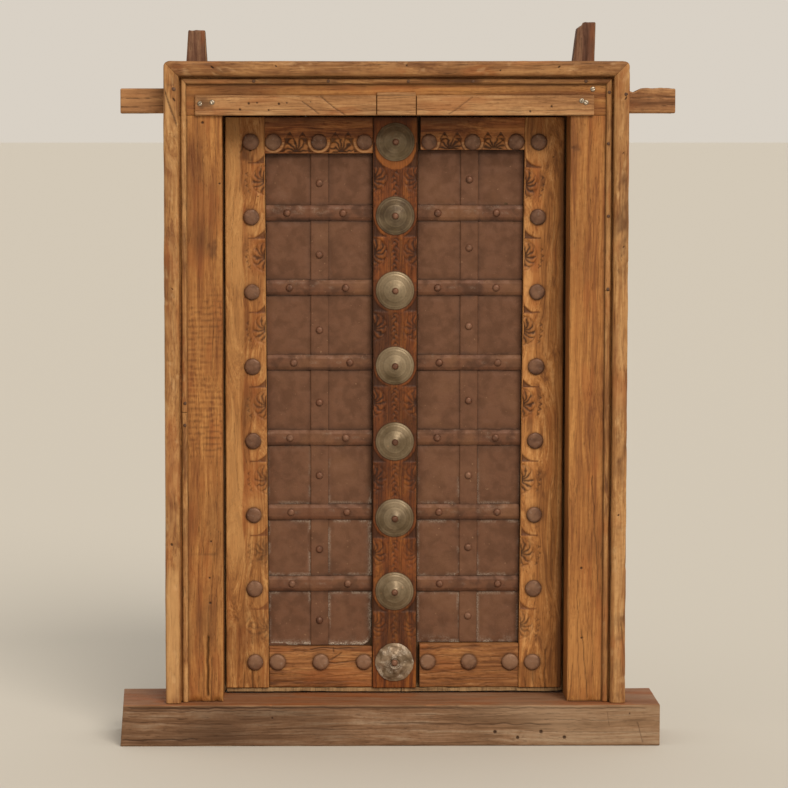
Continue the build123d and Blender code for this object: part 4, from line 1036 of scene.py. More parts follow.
# Rails are drawn 200 long and fitted between their two ends
RAIL_DRAWN = 200

# Carved teak, dark in its hollows: red brown, with long wandering bands
rail_teak = teak("rail teak", "#5c3117", "#955a2d", "#b97d46", "X", 9.0, 1.6, 0.56)
# The same timber, planed: drier and duller
foot_rail_teak = teak("foot rail teak", "#633b1e", "#905d33", "#ae7b4a", "X", 10.0, 1.6, 0.62, 0.5, 0.3)

foot_cracks = {
    -1: [(152, 2, 146, 90, 1.3, 2.2), (168, 60, 152, 82, 1.1, 1.8), (120, 0, 124, 200, 0.7, 0.7),
         (134, 110, 131, 200, 0.7, 0.7), (108, 10, 110, 190, 0.6, 0.6), (172, 90, 170, 200, 0.9, 1.0),
         (140, 0, 139, 60, 0.7, 0.6), (160, 0, 163, 70, 0.7, 0.8), (178, 20, 176, 120, 1.2, 1.8),
         (170, 75, 181, 76, 1.2, 1.8)],
    1: [(124, 0, 132, 200, 0.7, 0.8), (112, 0, 116, 200, 0.7, 0.8), (140, 0, 150, 160, 0.7, 0.8),
        (162, 20, 158, 190, 0.8, 0.9), (104, 0, 104, 200, 0.6, 0.6), (175, 0, 180, 120, 0.8, 1.0)],
}


def rail_nails(side, z):
    """The three nails of a rail: one near each end and one halfway."""
    start, end = RAIL_START[side] + 17.3, stile_edge(z) - 17.3
    return start, (start + end) / 2, end


def rail_spread(side, u, t):
    """Where a drawn place t is across the leaf: its share of the length up to the slanting stile."""
    start, end = RAIL_START[side] + 0.2, stile_edge(u) - 0.2
    return start + (end - start) * t / RAIL_DRAWN


def rail_place(side):
    """Level across one leaf, with its outer end slanting along the stile."""
    return lambda u, v, t: (side * rail_spread(side, u, t), v, u)


def top_rail_relief(side, low):
    """Worn timber with a fan of petals and two deep chips between each two nails. The lobes are circles
    round the nails, with a pale rim and a cut lip."""
    worn = wear(161 + side, [(1236, 20, 1238, 120, 0.6, 0.6)], (), [(1240, 60, 50, -0.2)], 0.8, 0.4, 0.5)

    def relief(u, v, t, facing, corner):
        sink, paint = worn(u, v, t, facing, corner)
        front = np.broadcast_to(facing[1] < -0.5, u.shape)
        x, b = rail_spread(side, u, t), u - low
        nails = rail_nails(side, ROWS[7])
        lobe = np.minimum.reduce([np.hypot(x - nail, u - ROWS[7]) for nail in nails])
        for first, second in zip(nails, nails[1:]):
            middle = (first + second) / 2
            a, near = x - middle, np.abs(x - middle) < (second - first) / 2
            bay = rise(lobe, 23.2, 25.4) * (1 - rise(u, 1217, 1220)) * near * front
            height, groove = fan(a, b - 1, 26, 1219 - low, 6, 170 + int(first), 0.25)
            tips = notches(a, u, ((-13, 1226), (13, 1226)), 6.5) * near * front
            sink += bay * (0.4 + 3.2 * (1 - height)) + 1.8 * tips
            deepen(paint, "dirt", bay * np.maximum(0.15 + 0.95 * groove, 0.85 * (1 - height)))
            deepen(paint, "dirt", 0.85 * tips)
            paint["tone"] += 0.5 * bay * height
        lip = np.exp(-((lobe - 23.4) / 1.1) ** 2) * (u < ROWS[7] + 8) * front * (u < 1219)
        lip = lip * (x > nails[0]) * (x < nails[2])
        sink += 0.8 * lip
        deepen(paint, "dirt", 0.75 * lip)
        deepen(paint, "pale", 0.55 * np.exp(-((lobe - 20) / 2.2) ** 2) * (u < ROWS[7]) * front)
        # Painted shade: the top of the rail darkens under the head
        paint["tone"] += (0.35 * (u < 1219) - 0.6 * rise(u, 1236, 1258)) * front
        return sink, paint
    return relief


def foot_rail_relief(side, high):
    """Worn timber in shallow ridges, a sine of the height that noise bends, with dust at its ends, along
    its top and round the nails."""
    foot_stains = [(140, 100, 60, 0.25), (100, 100, 40, -0.3)]
    worn = wear(181 + side, foot_cracks[side], (), foot_stains, 0.9, 0.6, 0.9)

    def relief(u, v, t, facing, corner):
        sink, paint = worn(u, v, t, facing, corner)
        front = np.broadcast_to(facing[1] < -0.5, u.shape)
        x = rail_spread(side, u, t)
        waves = np.sin(u / 1.9 + 2.6 * noise(t / 45, u / 25, 185 + side)) * front
        sink += 0.22 * (1 + waves)
        paint["tone"] += 0.14 * waves
        ring = np.minimum.reduce([np.hypot(x - nail, u - ROWS[0]) for nail in rail_nails(side, ROWS[0])])
        deepen(paint, "dirt", 0.6 * np.exp(-np.maximum(ring - 17, 0) / 2.4) * front)
        deepen(paint, "dirt", 0.7 * np.exp(-np.minimum(t, RAIL_DRAWN - t) / 1.2) * front)
        deepen(paint, "dirt", 0.8 * rise(u, high - 3, high) * front)
        return sink, paint
    return relief


for side, name in SIDES:
    low, high = TOP_RAIL_FOOT[side], FOOT_RAIL_TOP[side]
    section = box_section(low, LEAF_TOP, RAIL_FRONT, PLANK_FRONT, (1.2, 1, 0.6, 0.6), (1.3, 5, 12, 5))
    shell = sweep(section, stations(0, RAIL_DRAWN, 1.25), rail_place(side), top_rail_relief(side, low), 0.8)
    make_piece(f"{name}_top_rail_carved", [shell], rail_teak,
               f"{name}_leaf", "rail_teak", f"{name}_top_rail")
    section = box_section(LEAF_FOOT, high, RAIL_FRONT, PLANK_FRONT, (2, 2, 0.6, 0.6), (1.3, 5, 12, 5))
    shell = sweep(section, stations(0, RAIL_DRAWN, 1.6), rail_place(side), foot_rail_relief(side, high), 1.6)
    make_piece(f"{name}_foot_rail_worn", [shell], foot_rail_teak,
               f"{name}_leaf", "rail_teak", f"{name}_foot_rail")


# Cover strip
# A strip of dark teak 22 thick on the left leaf, which laps over the right one. Between the bosses two
# half rounds of petals stand against its edges, with a chain of drilled holes between them. Only under
# the top boss is the round lobe full. The lower cells and the right-hand petals are worn.

COVER_LEFT, COVER_RIGHT, COVER_FRONT = -44, 46, 32
# The bosses stand on the strip's middle, each a little off its row
COVER_MIDDLE = 1
BOSS_ROWS = [z + shift for z, shift in zip(ROWS, (0, -5, -6, -1, 2, 3, 3, 0))]
COVER_STRENGTH = (0.5, 0.6, 0.7, 0.8, 1.0, 1.0, 1.0)
CHAIN_LINKS = ((-30, 1), (-20, -2), (-12, 2), (-3, -1), (6, -3), (14, 2), (23, -1), (31, 1))

# Carved teak, blackened by wax and hands: deep red brown
cover_teak = teak("cover strip teak", "#48230b", "#703a13", "#945822", "Z", 11.0, 1.2, 0.58, 0.6, 0.3)

cover_cracks = [(18, 820, 20, 940, 0.6, 0.8), (-20, 96, -18, 190, 0.7, 0.9), (30, 250, 27, 400, 0.6, 0.7),
                (-10, 330, -6, 460, 0.6, 0.5)]
cover_wear = wear(191, cover_cracks, (), [(-20, 250, 60, -0.25)], 0.8, 0.5, 0.5)


def drilled_chain(u, a):
    """The holes down the middle of a cell: round places that short slanting cuts join, with four long
    cuts beside them."""
    chain = 0.0
    for link, x in CHAIN_LINKS:
        hole = COVER_MIDDLE + x
        chain = np.maximum(chain, spot(u, a, (hole, link), 2.8))
        for beside in (-6, 6):
            chain = np.maximum(chain, 0.8 * cut(u, a, (hole + beside, link - 5), (hole, link + 1), 1.2))
    for x in (-13, -9, 9.5, 13.5):
        chain = np.maximum(chain, 0.75 * cut(u, a, (COVER_MIDDLE + x, -36), (COVER_MIDDLE + x, 26), 1.1))
    return chain


def cover_cell(row, paint, u, t, front):
    """The carving between two bosses, with its paint. A round or U-shaped lobe hangs under the upper
    boss, a wedge is cut along its foot, and below that stand the two fans and the chain."""
    low, high, strength = BOSS_ROWS[row], BOSS_ROWS[row + 1], COVER_STRENGTH[row]
    a, near = t - (low + high) / 2, (t > low) & (t < high)
    drop, lobe, floor_line = (14, 41, high - 51) if row == 6 else (0, 44, high - 41)
    off_middle = u - COVER_MIDDLE
    below = np.hypot(off_middle, np.where(t < high - drop, high - drop - t, 0.3 * (t - high + drop)))
    below = below + 0.8 * noise(t / 13, u / 13, 199 + row, 2)
    wedge = rise(below, lobe - 0.5, lobe + 1.5) * rise(t, floor_line - 2, floor_line) * near * front
    sink = 1.8 * wedge
    cell = near * front * (t < floor_line) * rise(below, lobe, lobe + 2)
    for edge, outward, keep in ((COVER_LEFT, 1, 1.0), (COVER_RIGHT, -1, 0.6)):
        b = (u - edge) * outward
        height, groove = fan(a - 3, b + 2, 29, 31, 5, 200 + row * 2 + outward, 0.8)
        bay = (1 - rise(np.hypot((a - 3) / 30, (b + 2) / 32), 0.9, 1.04)) * cell
        sink += bay * strength * keep * (0.3 + 2.6 * (1 - height))
        dark = bay * (0.15 + 1.0 * groove + 0.3 * (1 - height)) * (0.3 + 0.7 * strength * keep)
        deepen(paint, "dirt", np.minimum(dark, 1))
        paint["tone"] += 0.45 * bay * height * strength
    chain = drilled_chain(u, a) * cell * (np.abs(off_middle) < 16)
    deepen(paint, "dirt", 0.5 * rise(noise(u / 4.5, t / 6, 198, 3), 0.15, 0.9) * cell * (a < 38))
    deepen(paint, "dirt", 0.95 * chain * (0.3 + 0.7 * strength))
    # The wedge under the lobe is painted dark: dust, and painted shadow under the lobe's edge
    deepen(paint, "dirt", 0.85 * wedge)
    lit = (below < lobe) * near * front * (1.0 if row == 6 else 0.15)
    paint["tone"] += lit - (0.35 if row < 2 else 0.6 if row < 5 else 0.0) * near
    to_boss = np.minimum(np.hypot(off_middle, t - high), np.hypot(off_middle, t - low))
    deepen(paint, "dirt", 0.6 * np.exp(-np.maximum(to_boss - 39, 0) / 2.0) * near * front)
    return sink + chain * 1.4 * strength


def cover_relief(u, v, t, facing, corner):
    """Worn timber with seven carved cells, painted shade at its top under the head, and both flanks painted
    dark as the shade in the gaps beside it.
    """
    sink, paint = cover_wear(u, v, t, facing, corner)
    front = np.broadcast_to(facing[1] < -0.5, u.shape)
    for row in range(7):
        sink += cover_cell(row, paint, u, t, front)
    # Painted shade: darker at the top under the head
    paint["tone"] -= 0.5 * rise(t, 1244, LEAF_TOP)
    paint["pale"] = paint["pale"] * front
    # Painted shade: the flanks are dark as the gaps beside the strip
    deepen(paint, "dirt", 0.7 * np.broadcast_to(np.abs(facing[0]) > 0.7, u.shape))
    return sink, paint


section = box_section(COVER_LEFT, COVER_RIGHT, COVER_FRONT, 53.5, (1.6, 1.6, 0.6, 0.6), (1.4, 5, 12, 5))
shell = sweep(section, stations(LEAF_FOOT, LEAF_TOP, 2.0), upright, cover_relief, 1.4)
make_piece("cover_strip_carved", [shell], cover_teak, "left_leaf", "rail_teak", "cover_strip")


# Sheet iron and centre strips
# A sheet of wrought iron 1.2 thick on each leaf, nailed over the planks and pillowed a little between the
# straps and the centre strip, which is of the same iron, 36 wide. The left sheet's lower inner corner is
# rounded, and chalky dust lies along its edge and foot.

SHEET_FRONT, STRIP_FRONT = 52.8, 51.6
IRON_START = {-1: 44.4, 1: 47.2}
CENTRE_STRIP, HALF_STRIP, HALF_STRAP, SHEET_CORNER = 152, 18, 17, 24
STRAP_ROWS = [z + shift for z, shift in zip(ROWS[1:-1], (8, 4, 5, 7, 8, 8))]
# Sheets are drawn 200 wide and fitted between their two edges
SHEET_DRAWN = 200

# Wrought sheet iron under wax and old oxide: an even red brown with hardly any shine
sheet_iron = metal("sheet iron", "#5c3c28", "#67432d", "#714d35", 1.0, 0.62, 0.1)


def sheet_place(side, low):
    """Upright and fitted between the strip or rail and the stile. The left one's lower inner corner
    follows a quarter circle."""
    def place(u, v, t):
        up = np.clip(SHEET_CORNER ** 2 - (low + SHEET_CORNER - t) ** 2, 0, None)
        rounded = (SHEET_CORNER - np.sqrt(up)) * (t < low + SHEET_CORNER) * (side < 0)
        inner = IRON_START[side] + rounded
        return side * (inner + (stile_edge(t) - 0.4 - inner) * u / SHEET_DRAWN), v, t
    return place


def sheet_chalk(side, low, x, t, near):
    """Chalky dust in patches of noise: near what holds the sheet, and thicker at its foot. It lies along
    the left one's rounded edge, and two pale runs hang down from the top of the right one."""
    own = side * x
    chalk = 0.35 * rise(-near, -7, -1) * rise(noise(own / 16, t / 20, 216, 3), -0.5, 0.4)
    chalk *= rise(-t, -640, -400)
    if side > 0:
        at_foot = 0.75 * np.exp(-(t - low) / 5) * rise(noise(own / 12, t / 9, 220, 2), -0.2, 0.5)
        runs = np.exp(-((x - 148 - 8 * noise(t / 60, t * 0, 222)) / 3) ** 2) * rise(t, 1090, 1110)
        runs = np.maximum(runs, 0.7 * np.exp(-((x - 160) / 5) ** 2) * rise(t, 1110, 1140))
        return np.maximum.reduce([chalk, at_foot, 0.3 * runs])
    corner_x, corner_t = IRON_START[side] + SHEET_CORNER + 0.4, low + SHEET_CORNER
    to_corner = SHEET_CORNER - np.hypot(x - corner_x, t - corner_t)
    line = np.where(t > corner_t, x - corner_x + SHEET_CORNER, to_corner)
    line = np.where((t < corner_t) & (x > corner_x), t - low - 0.5, line)
    patches = rise(-t, -520, -470) * rise(noise(own / 9, t / 13, 218, 2), -0.9, 0.1)
    at_foot = 0.8 * np.exp(-(t - low) / 5) * rise(noise(own / 12, t / 9, 219, 2), -0.3, 0.4)
    return np.maximum.reduce([chalk, np.exp(-np.abs(line - 3) / 2.4) * patches, at_foot])


def sheet_relief(side, low, high):
    """Hammered sheet: it rises away from what holds it down, with noise for its waves and dents. Dust
    and a darker tone fall off with the distance from its seams."""
    def relief(u, v, t, facing, corner):
        front = np.broadcast_to(facing[1] < 0, u.shape)
        x = np.abs(sheet_place(side, low)(u, v, t)[0])
        sides = [x - IRON_START[side], stile_edge(t) - x]
        held = [np.abs(t - z) - HALF_STRAP for z in STRAP_ROWS] + [np.abs(x - CENTRE_STRIP) - HALF_STRIP]
        near = np.minimum.reduce(held + [t - low, high - t] + sides)
        pillow = 0.9 * (1 - rise(near, 1, 13)) + 0.5 * noise(side * x / 45, t / 45, 210 + side, 3)
        dents = 0.5 * rise(noise(side * x / 19, t / 19, 212 + side, 2), 0.3, 1.0)
        # Painted shadow: the tone darkens under the top rail
        tone = 0.16 * noise(side * x / 60, t / 70, 214 + side, 4) - 0.5 * np.exp(-(high - t) / 12)
        tone += 0.1 * rise(near, 5, 30) - 0.35 * np.exp(-np.maximum(near, 0) / 7)
        seam = np.exp(-np.maximum(near, 0) / 1.6) * (0.45 + 0.4 * (np.minimum(*sides) < 6))
        chalk = sheet_chalk(side, low, x, t, near)
        return (pillow + dents) * front, {"tone": tone, "dirt": seam * front, "pale": chalk * front}
    return relief


def strip_relief(side, low, high):
    """Hammered strip: noise for its unevenness, darker and dustier towards the straps."""
    def relief(u, v, t, facing, corner):
        near = np.minimum.reduce([np.abs(t - z) - HALF_STRAP for z in STRAP_ROWS] + [t - low, high - t])
        tone = 0.3 * noise(u / 25, t / 60, 230 + side, 3) - 0.5 * np.exp(-np.maximum(near, 0) / 4) + 0.1
        sink = 0.35 * noise(u / 20, t / 40, 232 + side, 3) + corner * 0.3
        return sink, {"tone": tone, "dirt": 0.4 * np.exp(-np.maximum(near, 0) / 1.6)}
    return relief


def leaf_place(side):
    """Upright in one leaf, with u as the distance from the middle."""
    return lambda u, v, t: (side * u, v, t)


sheet_section = box_section(0, SHEET_DRAWN, SHEET_FRONT, PLANK_FRONT, (0.4, 0.4, 0.2, 0.2), (2.2, 2, 16, 2))
strip_section = box_section(CENTRE_STRIP - HALF_STRIP, CENTRE_STRIP + HALF_STRIP, STRIP_FRONT, SHEET_FRONT,
                            (0.8, 0.8, 0.2, 0.2), (2, 1, 12, 1))
for side, name in SIDES:
    low, high = FOOT_RAIL_TOP[side] + 0.4, TOP_RAIL_FOOT[side] - 0.4
    shell = sweep(sheet_section, stations(low, high, 3.6), sheet_place(side, low),
                  sheet_relief(side, low, high), 0.3)
    make_piece(f"{name}_iron_sheet_aged", [shell], sheet_iron,
               f"{name}_leaf", "sheet_iron", f"{name}_iron_sheet")
    shell = sweep(strip_section, stations(low, high, 6), leaf_place(side),
                  strip_relief(side, low, high), 0.3)
    make_piece(f"{name}_centre_strip_aged", [shell], sheet_iron,
               f"{name}_leaf", "sheet_iron", f"{name}_centre_strip")


# Straps
# Six half-oval bars of forged iron across each leaf, 34 high, nailed through the sheet into the planks.
# They are hammered unevenly and lifted where they cross the centre strip, with dust along both edges.

HALF_PROFILE = [(HALF_STRAP, SHEET_FRONT), (15.5, 51.0), (12.5, 49.6), (8.5, 48.3), (0, 48.1)]

# Forged iron, waxed, with rubbed crowns: darker in the hollows and lighter on the backs than the sheet
strap_iron = metal("strap iron", "#4f311f", "#66402a", "#7b5438", 2.0, 0.56, 0.12)

strap_corners = HALF_PROFILE + [(-height, depth) for height, depth in HALF_PROFILE[-2::-1]]
strap_radii = (0.3, 1.5, 3, 4, 8, 4, 3, 1.5, 0.3)
strap_section = section_of(strap_corners, strap_radii, (2.5, 3, 3.2, 4.5, 4.5, 3.2, 3, 2.5, 9))


def strap_place(side, z, seed):
    """Level across one leaf, with noise for its unevenness. It is lifted over the centre strip, down
    smooth steps to both its sides."""
    def place(u, v, t):
        raised = 1.1 * (1 - rise(np.abs(t - CENTRE_STRIP), 17, 25)) * (v < 52)
        return side * t, v - raised, z + u + 0.5 * noise(t / 70, t * 0, seed)
    return place


def strap_relief(start, end, seed):
    """Hammered bar: noise for its blows, a painted highlight on its upper back and painted shade on its
    lower half, and dust at its edges and ends.
    """
    def relief(u, v, t, facing, corner):
        out = np.abs(u) / HALF_STRAP
        sink = 0.55 * (0.5 + 0.5 * noise(t / 34, u / 20, seed + 1, 3)) * (v < 52.6)
        # Painted light: the upper back is lighter and the lower half darker, as lit from above
        tone = 0.3 * noise(t / 55, u / 14, seed + 2, 3) + 0.45 * (1 - out) * rise(u, -4, 9)
        tone -= 0.4 * rise(-u, 6, 16)
        tone -= 0.35 * np.exp(-np.abs(np.abs(t - CENTRE_STRIP) - 20) / 2.5)
        dirt = 0.55 * rise(out, 0.84, 1.0) + 0.4 * np.exp(-np.minimum(t - start, end - t) / 2)
        pale = 0.1 * rise(noise(t / 16, u / 9, seed + 3, 3), 0.3, 1.0) * (u > -4)
        return sink, {"tone": tone, "dirt": np.clip(dirt, 0, 1), "pale": pale}
    return relief


for side, name in SIDES:
    for row, z in enumerate(STRAP_ROWS):
        start, end, seed = IRON_START[side], stile_edge(z) - 0.4, 240 + row * 2 + (side > 0)
        shell = sweep(strap_section, stations(start, end, 2.6), strap_place(side, z, seed),
                      strap_relief(start, end, seed), 0.4)
        make_piece(f"{name}_strap_{row + 1}_aged", [shell], strap_iron,
                   f"{name}_leaf", "strap_iron", f"{name}_strap_{row + 1}")


# Studs and dome nails
# Forged iron heads, hammered by hand and each a little different: studs 33 across, one in each lobe of
# the stiles and three in each rail, and dome nails 15 across in the straps and the centre strip.

# The shares of radius and height of a head's rings, for a flattish stud and for a dome
STUD_RINGS = ((1.0, -0.1), (1.0, 0.28), (0.985, 0.5), (0.93, 0.7), (0.84, 0.83), (0.7, 0.92), (0.5, 0.97),
              (0.3, 1.0), (0.12, 1.0))
DOME_RINGS = ((1.0, -0.1), (1.0, 0.12), (0.94, 0.42), (0.82, 0.68), (0.64, 0.88), (0.42, 0.97), (0.2, 1.0))
STRAP_NAILS = {-1: ((104, 218), (-10, -8, -6, -14, -5, 0)), 1: ((88, 207), (6, 4, 0, 4, 0, 0))}
CELL_SHIFTS = {-1: (-12, -3, -1, -5, -10, -9, 0), 1: (-6, 1, -1, -1, -2, 5, 4)}

# Forged iron with polished crowns, finer in its pits and spots than the studs
dome_iron = metal("dome nail iron", "#503222", "#704a36", "#8a6650", 4.0, 0.48, 0.25, 1.8)


def forged_head(x, z, y, radius, height, seed, crown, sides=44):
    """A forged head: noise round its rim and, times crown, for the blows on it, and a slight lean. A
    flattish stud also has painted light: a lighter middle and upper side and a darker rim."""
    rng = np.random.default_rng(seed)
    lean, turn = rng.uniform(-0.03, 0.03, 2), rng.uniform(0, 6)

    def shape(r, h, a):
        own_x, own_y = r * np.cos(a), r * np.sin(a)
        r = r * (1 + 0.028 * noise(np.cos(a + turn) * 1.7 + 9, np.sin(a + turn) * 1.7, seed, 2))
        hammer = 0.35 * noise(own_x / 8 + seed, own_y / 8, seed + 1, 2) * crown
        return r, np.where(h > 0, h + (hammer + lean[0] * own_x + lean[1] * own_y) * h / height, h)

    def paint(r, h, a):
        own_x, own_y = r * np.cos(a), r * np.sin(a)
        tone = 0.2 * noise(own_x / 7 + seed, own_y / 7, seed + 2, 3) + rng.uniform(-0.2, 0.2)
        # Painted light on a stud's dome: lighter in the middle and on its upper side, darker at the rim
        painted_dome_light = 0.3 - 0.55 * rise(r, 0.45 * radius, radius) + 0.25 * own_y / radius
        tone += 0.5 * (z < 200) + painted_dome_light * (crown > 0.5)
        return {"tone": tone, "dirt": 0.5 * (h < 0.5),
                "pale": 0.15 * rise(noise(own_x / 4, own_y / 4 + seed, seed + 3, 2), 0.6, 1.1)}
    share, up = np.array(STUD_RINGS if crown > 0.5 else DOME_RINGS).T
    return round_head(share * radius, up * height, sides, on_front(x, z, y), shape, paint)


for side, name in SIDES:
    places = [(stile_edge(z) + STUD_IN, z, STILE_FRONT) for z in ROWS]
    places += [(x, z, RAIL_FRONT) for z in (ROWS[0], ROWS[7]) for x in rail_nails(side, z)]
    seed = 300 + 40 * (side > 0)
    shells = [forged_head(side * x, z, y, 16.4 + 0.5 * math.sin(2.1 * number), 5.5, seed + number, 1.0)
              for number, (x, z, y) in enumerate(places)]
    make_piece(f"{name}_studs_forged", shells, nail_iron, f"{name}_leaf", "forged_iron", f"{name}_studs")
    nails, shifts = STRAP_NAILS[side]
    places = [(x + shift, z, 48.4) for z, shift in zip(STRAP_ROWS, shifts) for x in nails]
    borders = [FOOT_RAIL_TOP[side]] + STRAP_ROWS + [TOP_RAIL_FOOT[side]]
    places += [(CENTRE_STRIP, (low + high) / 2 + shift, 51.7)
               for low, high, shift in zip(borders, borders[1:], CELL_SHIFTS[side])]
    shells = [forged_head(side * x, z, y, 7.6, 5.0, seed + 100 + number, 0.4, 26)
              for number, (x, z, y) in enumerate(places)]
    make_piece(f"{name}_dome_nails_forged", shells, dome_iron,
               f"{name}_leaf", "forged_iron", f"{name}_dome_nails")


# Bosses
# Eight turned brass bosses on the cover strip, 78 across and 20 high, with a flat rim, three raised rings
# and fine turning lines, each held by one forged nail. The lowest was crushed: it is low, pale and
# crumpled, with a washer ring.

BOSS_RADIUS = 39.0
BOSS_TONES = (0.0, 0.0, -0.3, 0.0, 0.0, -0.05, -0.45, -0.2)
# The radius and the share of the height along a boss, from its rim to its middle
BOSS_PROFILE = ((39.0, 0.05), (38.4, 0.09), (36.8, 0.13), (35.6, 0.14), (34.8, 0.17), (33.8, 0.215),
                (32.4, 0.235), (31.2, 0.25), (27.0, 0.40), (23.6, 0.51), (22.4, 0.56), (21.2, 0.585),
                (20.0, 0.60), (15.0, 0.72), (11.0, 0.80), (10.0, 0.84), (8.6, 0.87), (6.0, 0.93),
                (4.0, 0.97), (1.0, 1.0))

# Turned brass under a grey-brown skin: dull, and a little smoother than the iron
brass = metal("boss brass", "#63533c", "#7c6b53", "#938268", 5.0, 0.42, 0.3, 0.7)
# Crumpled brass, rubbed bare: paler and rougher
dull_brass = metal("crushed boss brass", "#5c4a35", "#85705a", "#a8947a", 6.0, 0.5, 0.3, 1.2)


def boss_head(row, z):
    """A turned boss: 0.6 of its measured profile and 0.4 of a dome that falls with the power 1.7 of the
    radius, with a sine for the turning lines. The lowest is flattened, and noise crumples it."""
    seed, crushed = 500 + row, row == 0
    height = 13 if crushed else 20
    known = np.array(BOSS_PROFILE)
    radii = np.concatenate([[BOSS_RADIUS] * 2, np.arange(38.7, 1.0, -0.55)])
    profile = np.interp(-radii, -known[:, 0], known[:, 1])
    heights = (0.6 * profile + 0.4 * (1 - (radii / BOSS_RADIUS) ** 1.7)) * height
    heights[0] = -1.0

    def shape(r, h, a):
        x, y, up = r * np.cos(a), r * np.sin(a), np.clip(h, 0, None)
        dents = 0.6 * rise(noise(x / 14 + seed, y / 14, seed, 2), 0.4, 1.0)
        h = h + 0.012 * np.sin(r * 3.4) * (up > 0.5) - dents * up / height
        r = r * (1 + 0.006 * noise(np.cos(a) * 2 + seed, np.sin(a) * 2, seed + 1, 2))
        if crushed:
            crumple = 2.2 * noise(x / 15 + 3, y / 15, seed + 2, 2)
            crumple += 0.8 * np.abs(noise(x / 7, y / 7, seed + 3, 2))
            ring = 1.6 * np.exp(-((np.hypot(x - 1, y + 1) - 11.4) / 1.6) ** 2)
            flattened = h * 0.62 + 2.0 + crumple * rise(-r, -38, -30) + ring
            h = np.where(h > 0.3, np.clip(flattened, 0.4, None), h)
            r = r * (1 + 0.02 * noise(np.cos(a) * 3, np.sin(a) * 3, seed + 4, 2))
        return r, h

    def paint(r, h, a):
        x, y = r * np.cos(a), r * np.sin(a)
        rings = sum(0.16 * np.exp(-(r - place) ** 2) for place in (21.6, 10.0, 33.2))
        grooves = sum(0.25 * np.exp(-(r - place) ** 2) for place in (24.2, 12.0, 35.6))
        if crushed:
            washer = 0.6 * np.exp(-np.abs(np.hypot(x - 1, y + 1) - 9.0) / 0.9)
            pale = 0.45 * rise(noise(x / 10 + 2, y / 10, 509, 3), -0.2, 0.6)
            dirt = np.clip(grooves * 0.15 + washer, 0, 1)
            return {"tone": 0.35 * noise(x / 10, y / 10, seed + 6, 3), "dirt": dirt, "pale": pale}
        lines = 0.05 * np.sin(r * 3.4 + 1.0)
        tone = 0.25 * noise(x / 16 + seed, y / 16, seed + 5, 3) + rings + lines + BOSS_TONES[row]
        return {"tone": tone, "dirt": np.clip(grooves * 0.6 + 0.5 * (r > 38.4), 0, 1), "pale": 0.1 * rings}
    return round_head(radii, heights, 112, on_front(COVER_MIDDLE, z, COVER_FRONT), shape, paint)


shells = [boss_head(row, z) for row, z in enumerate(BOSS_ROWS)]
make_piece("brass_bosses_turned", shells[1:], brass, "left_leaf", "aged_brass", "bosses")
make_piece("crushed_boss_hammered", shells[:1], dull_brass, "left_leaf", "aged_brass")

shells = [forged_head(COVER_MIDDLE, z, 12.6 if row else 22.5, 6.7, 6.0, 520 + row, 0.4, 30)
          for row, z in enumerate(BOSS_ROWS)]
make_piece("boss_nails_forged", shells, dome_iron, "left_leaf", "forged_iron", "boss_nails")


# Planks and ledges
# Two teak planks 26 thick behind each sheet, bare and dry at the back, with four ledges across them. The
# hanging plank carries a round pintle at each end. A thin pale strip of their bare foot shows under the
# rails.

PLANK_BACK, LEDGE_BACK = 80, 94
PLANK_JOINT, PLANK_OUTER = 179.9, 368
PLANK_ENDS = (87, 1285)
INNER_EDGE = {-1: -14.7, 1: 15.3}
HINGE_X, HINGE_Y, PINTLE_RADIUS = 355, 67, 12
STRIP_ENDS = (87.6, 95.4)

# Sawn teak that was never waxed: grey brown, rough and blotched, with strong dark lines
plank_teak = teak("plank teak", "#4d3522", "#80603f", "#a78860", "Z", 12.0, 0.8, 0.74, 1.2)
ledge_teak = teak("ledge teak", "#4a3321", "#78583a", "#9d7d57", "X", 13.0, 0.8, 0.74, 1.2)


def plank_relief(seed, low, high):
    """Timber worn at its back, with one split. Its edges stay straight, so that the joints are closed, and
    its front is painted dark above the rails, as shade in the gaps it shows through, and bare at its foot."""
    middle = (low + high) / 2
    worn = wear(seed, [(middle + 20, 200, middle + 24, 460, 0.8, 1.2)], (), (), 0.6, 0.3, 0.7, (0, 1))

    def relief(u, v, t, facing, corner):
        sink, paint = worn(u, v, t, facing, corner)
        sink = sink * (1 - 0.9 * (np.abs(facing[0]) > 0.7))
        # Painted shade: the front shows only through gaps, and is dark there
        deepen(paint, "dirt", 0.8 * (facing[1] < -0.5) * rise(t, 98, 106) * (u < 340))
        deepen(paint, "pale", rise(-t, -106, -97) * (facing[1] < -0.5))
        deepen(paint, "dirt", 0.4 * rise(t, 1276, PLANK_ENDS[1]))
        return sink, paint
    return relief


def foot_strip(side, low, high):
    """The planks' bare foot, flush with the rails, under the facing of a leaf: noise for its ragged lower
    edge, its hollows and the dust in them."""
    foot, top = STRIP_ENDS
    section = section_of([(39, foot), (39, top), (56, top), (56, foot)], (1, 1, 0.4, 0.4), (1.6, 4, 4, 4))

    def place(u, v, t):
        return side * t, u, v + 0.8 * noise(t / 60, u * 0, 641 + side) * (v < 92)

    def relief(u, v, t, facing, corner):
        sink = 0.8 * rise(noise(t / 30, v / 9, 643 + side, 3), 0.0, 1.0)
        dark = 0.5 * rise(noise(t / 26, v / 5, 645 + side, 3), 0.1, 0.9)
        return sink, {"pale": 0.45 - 0.4 * dark, "dirt": 0.12 + 0.7 * dark}
    return sweep(section, stations(low, high, 4), place, relief, 0.15)


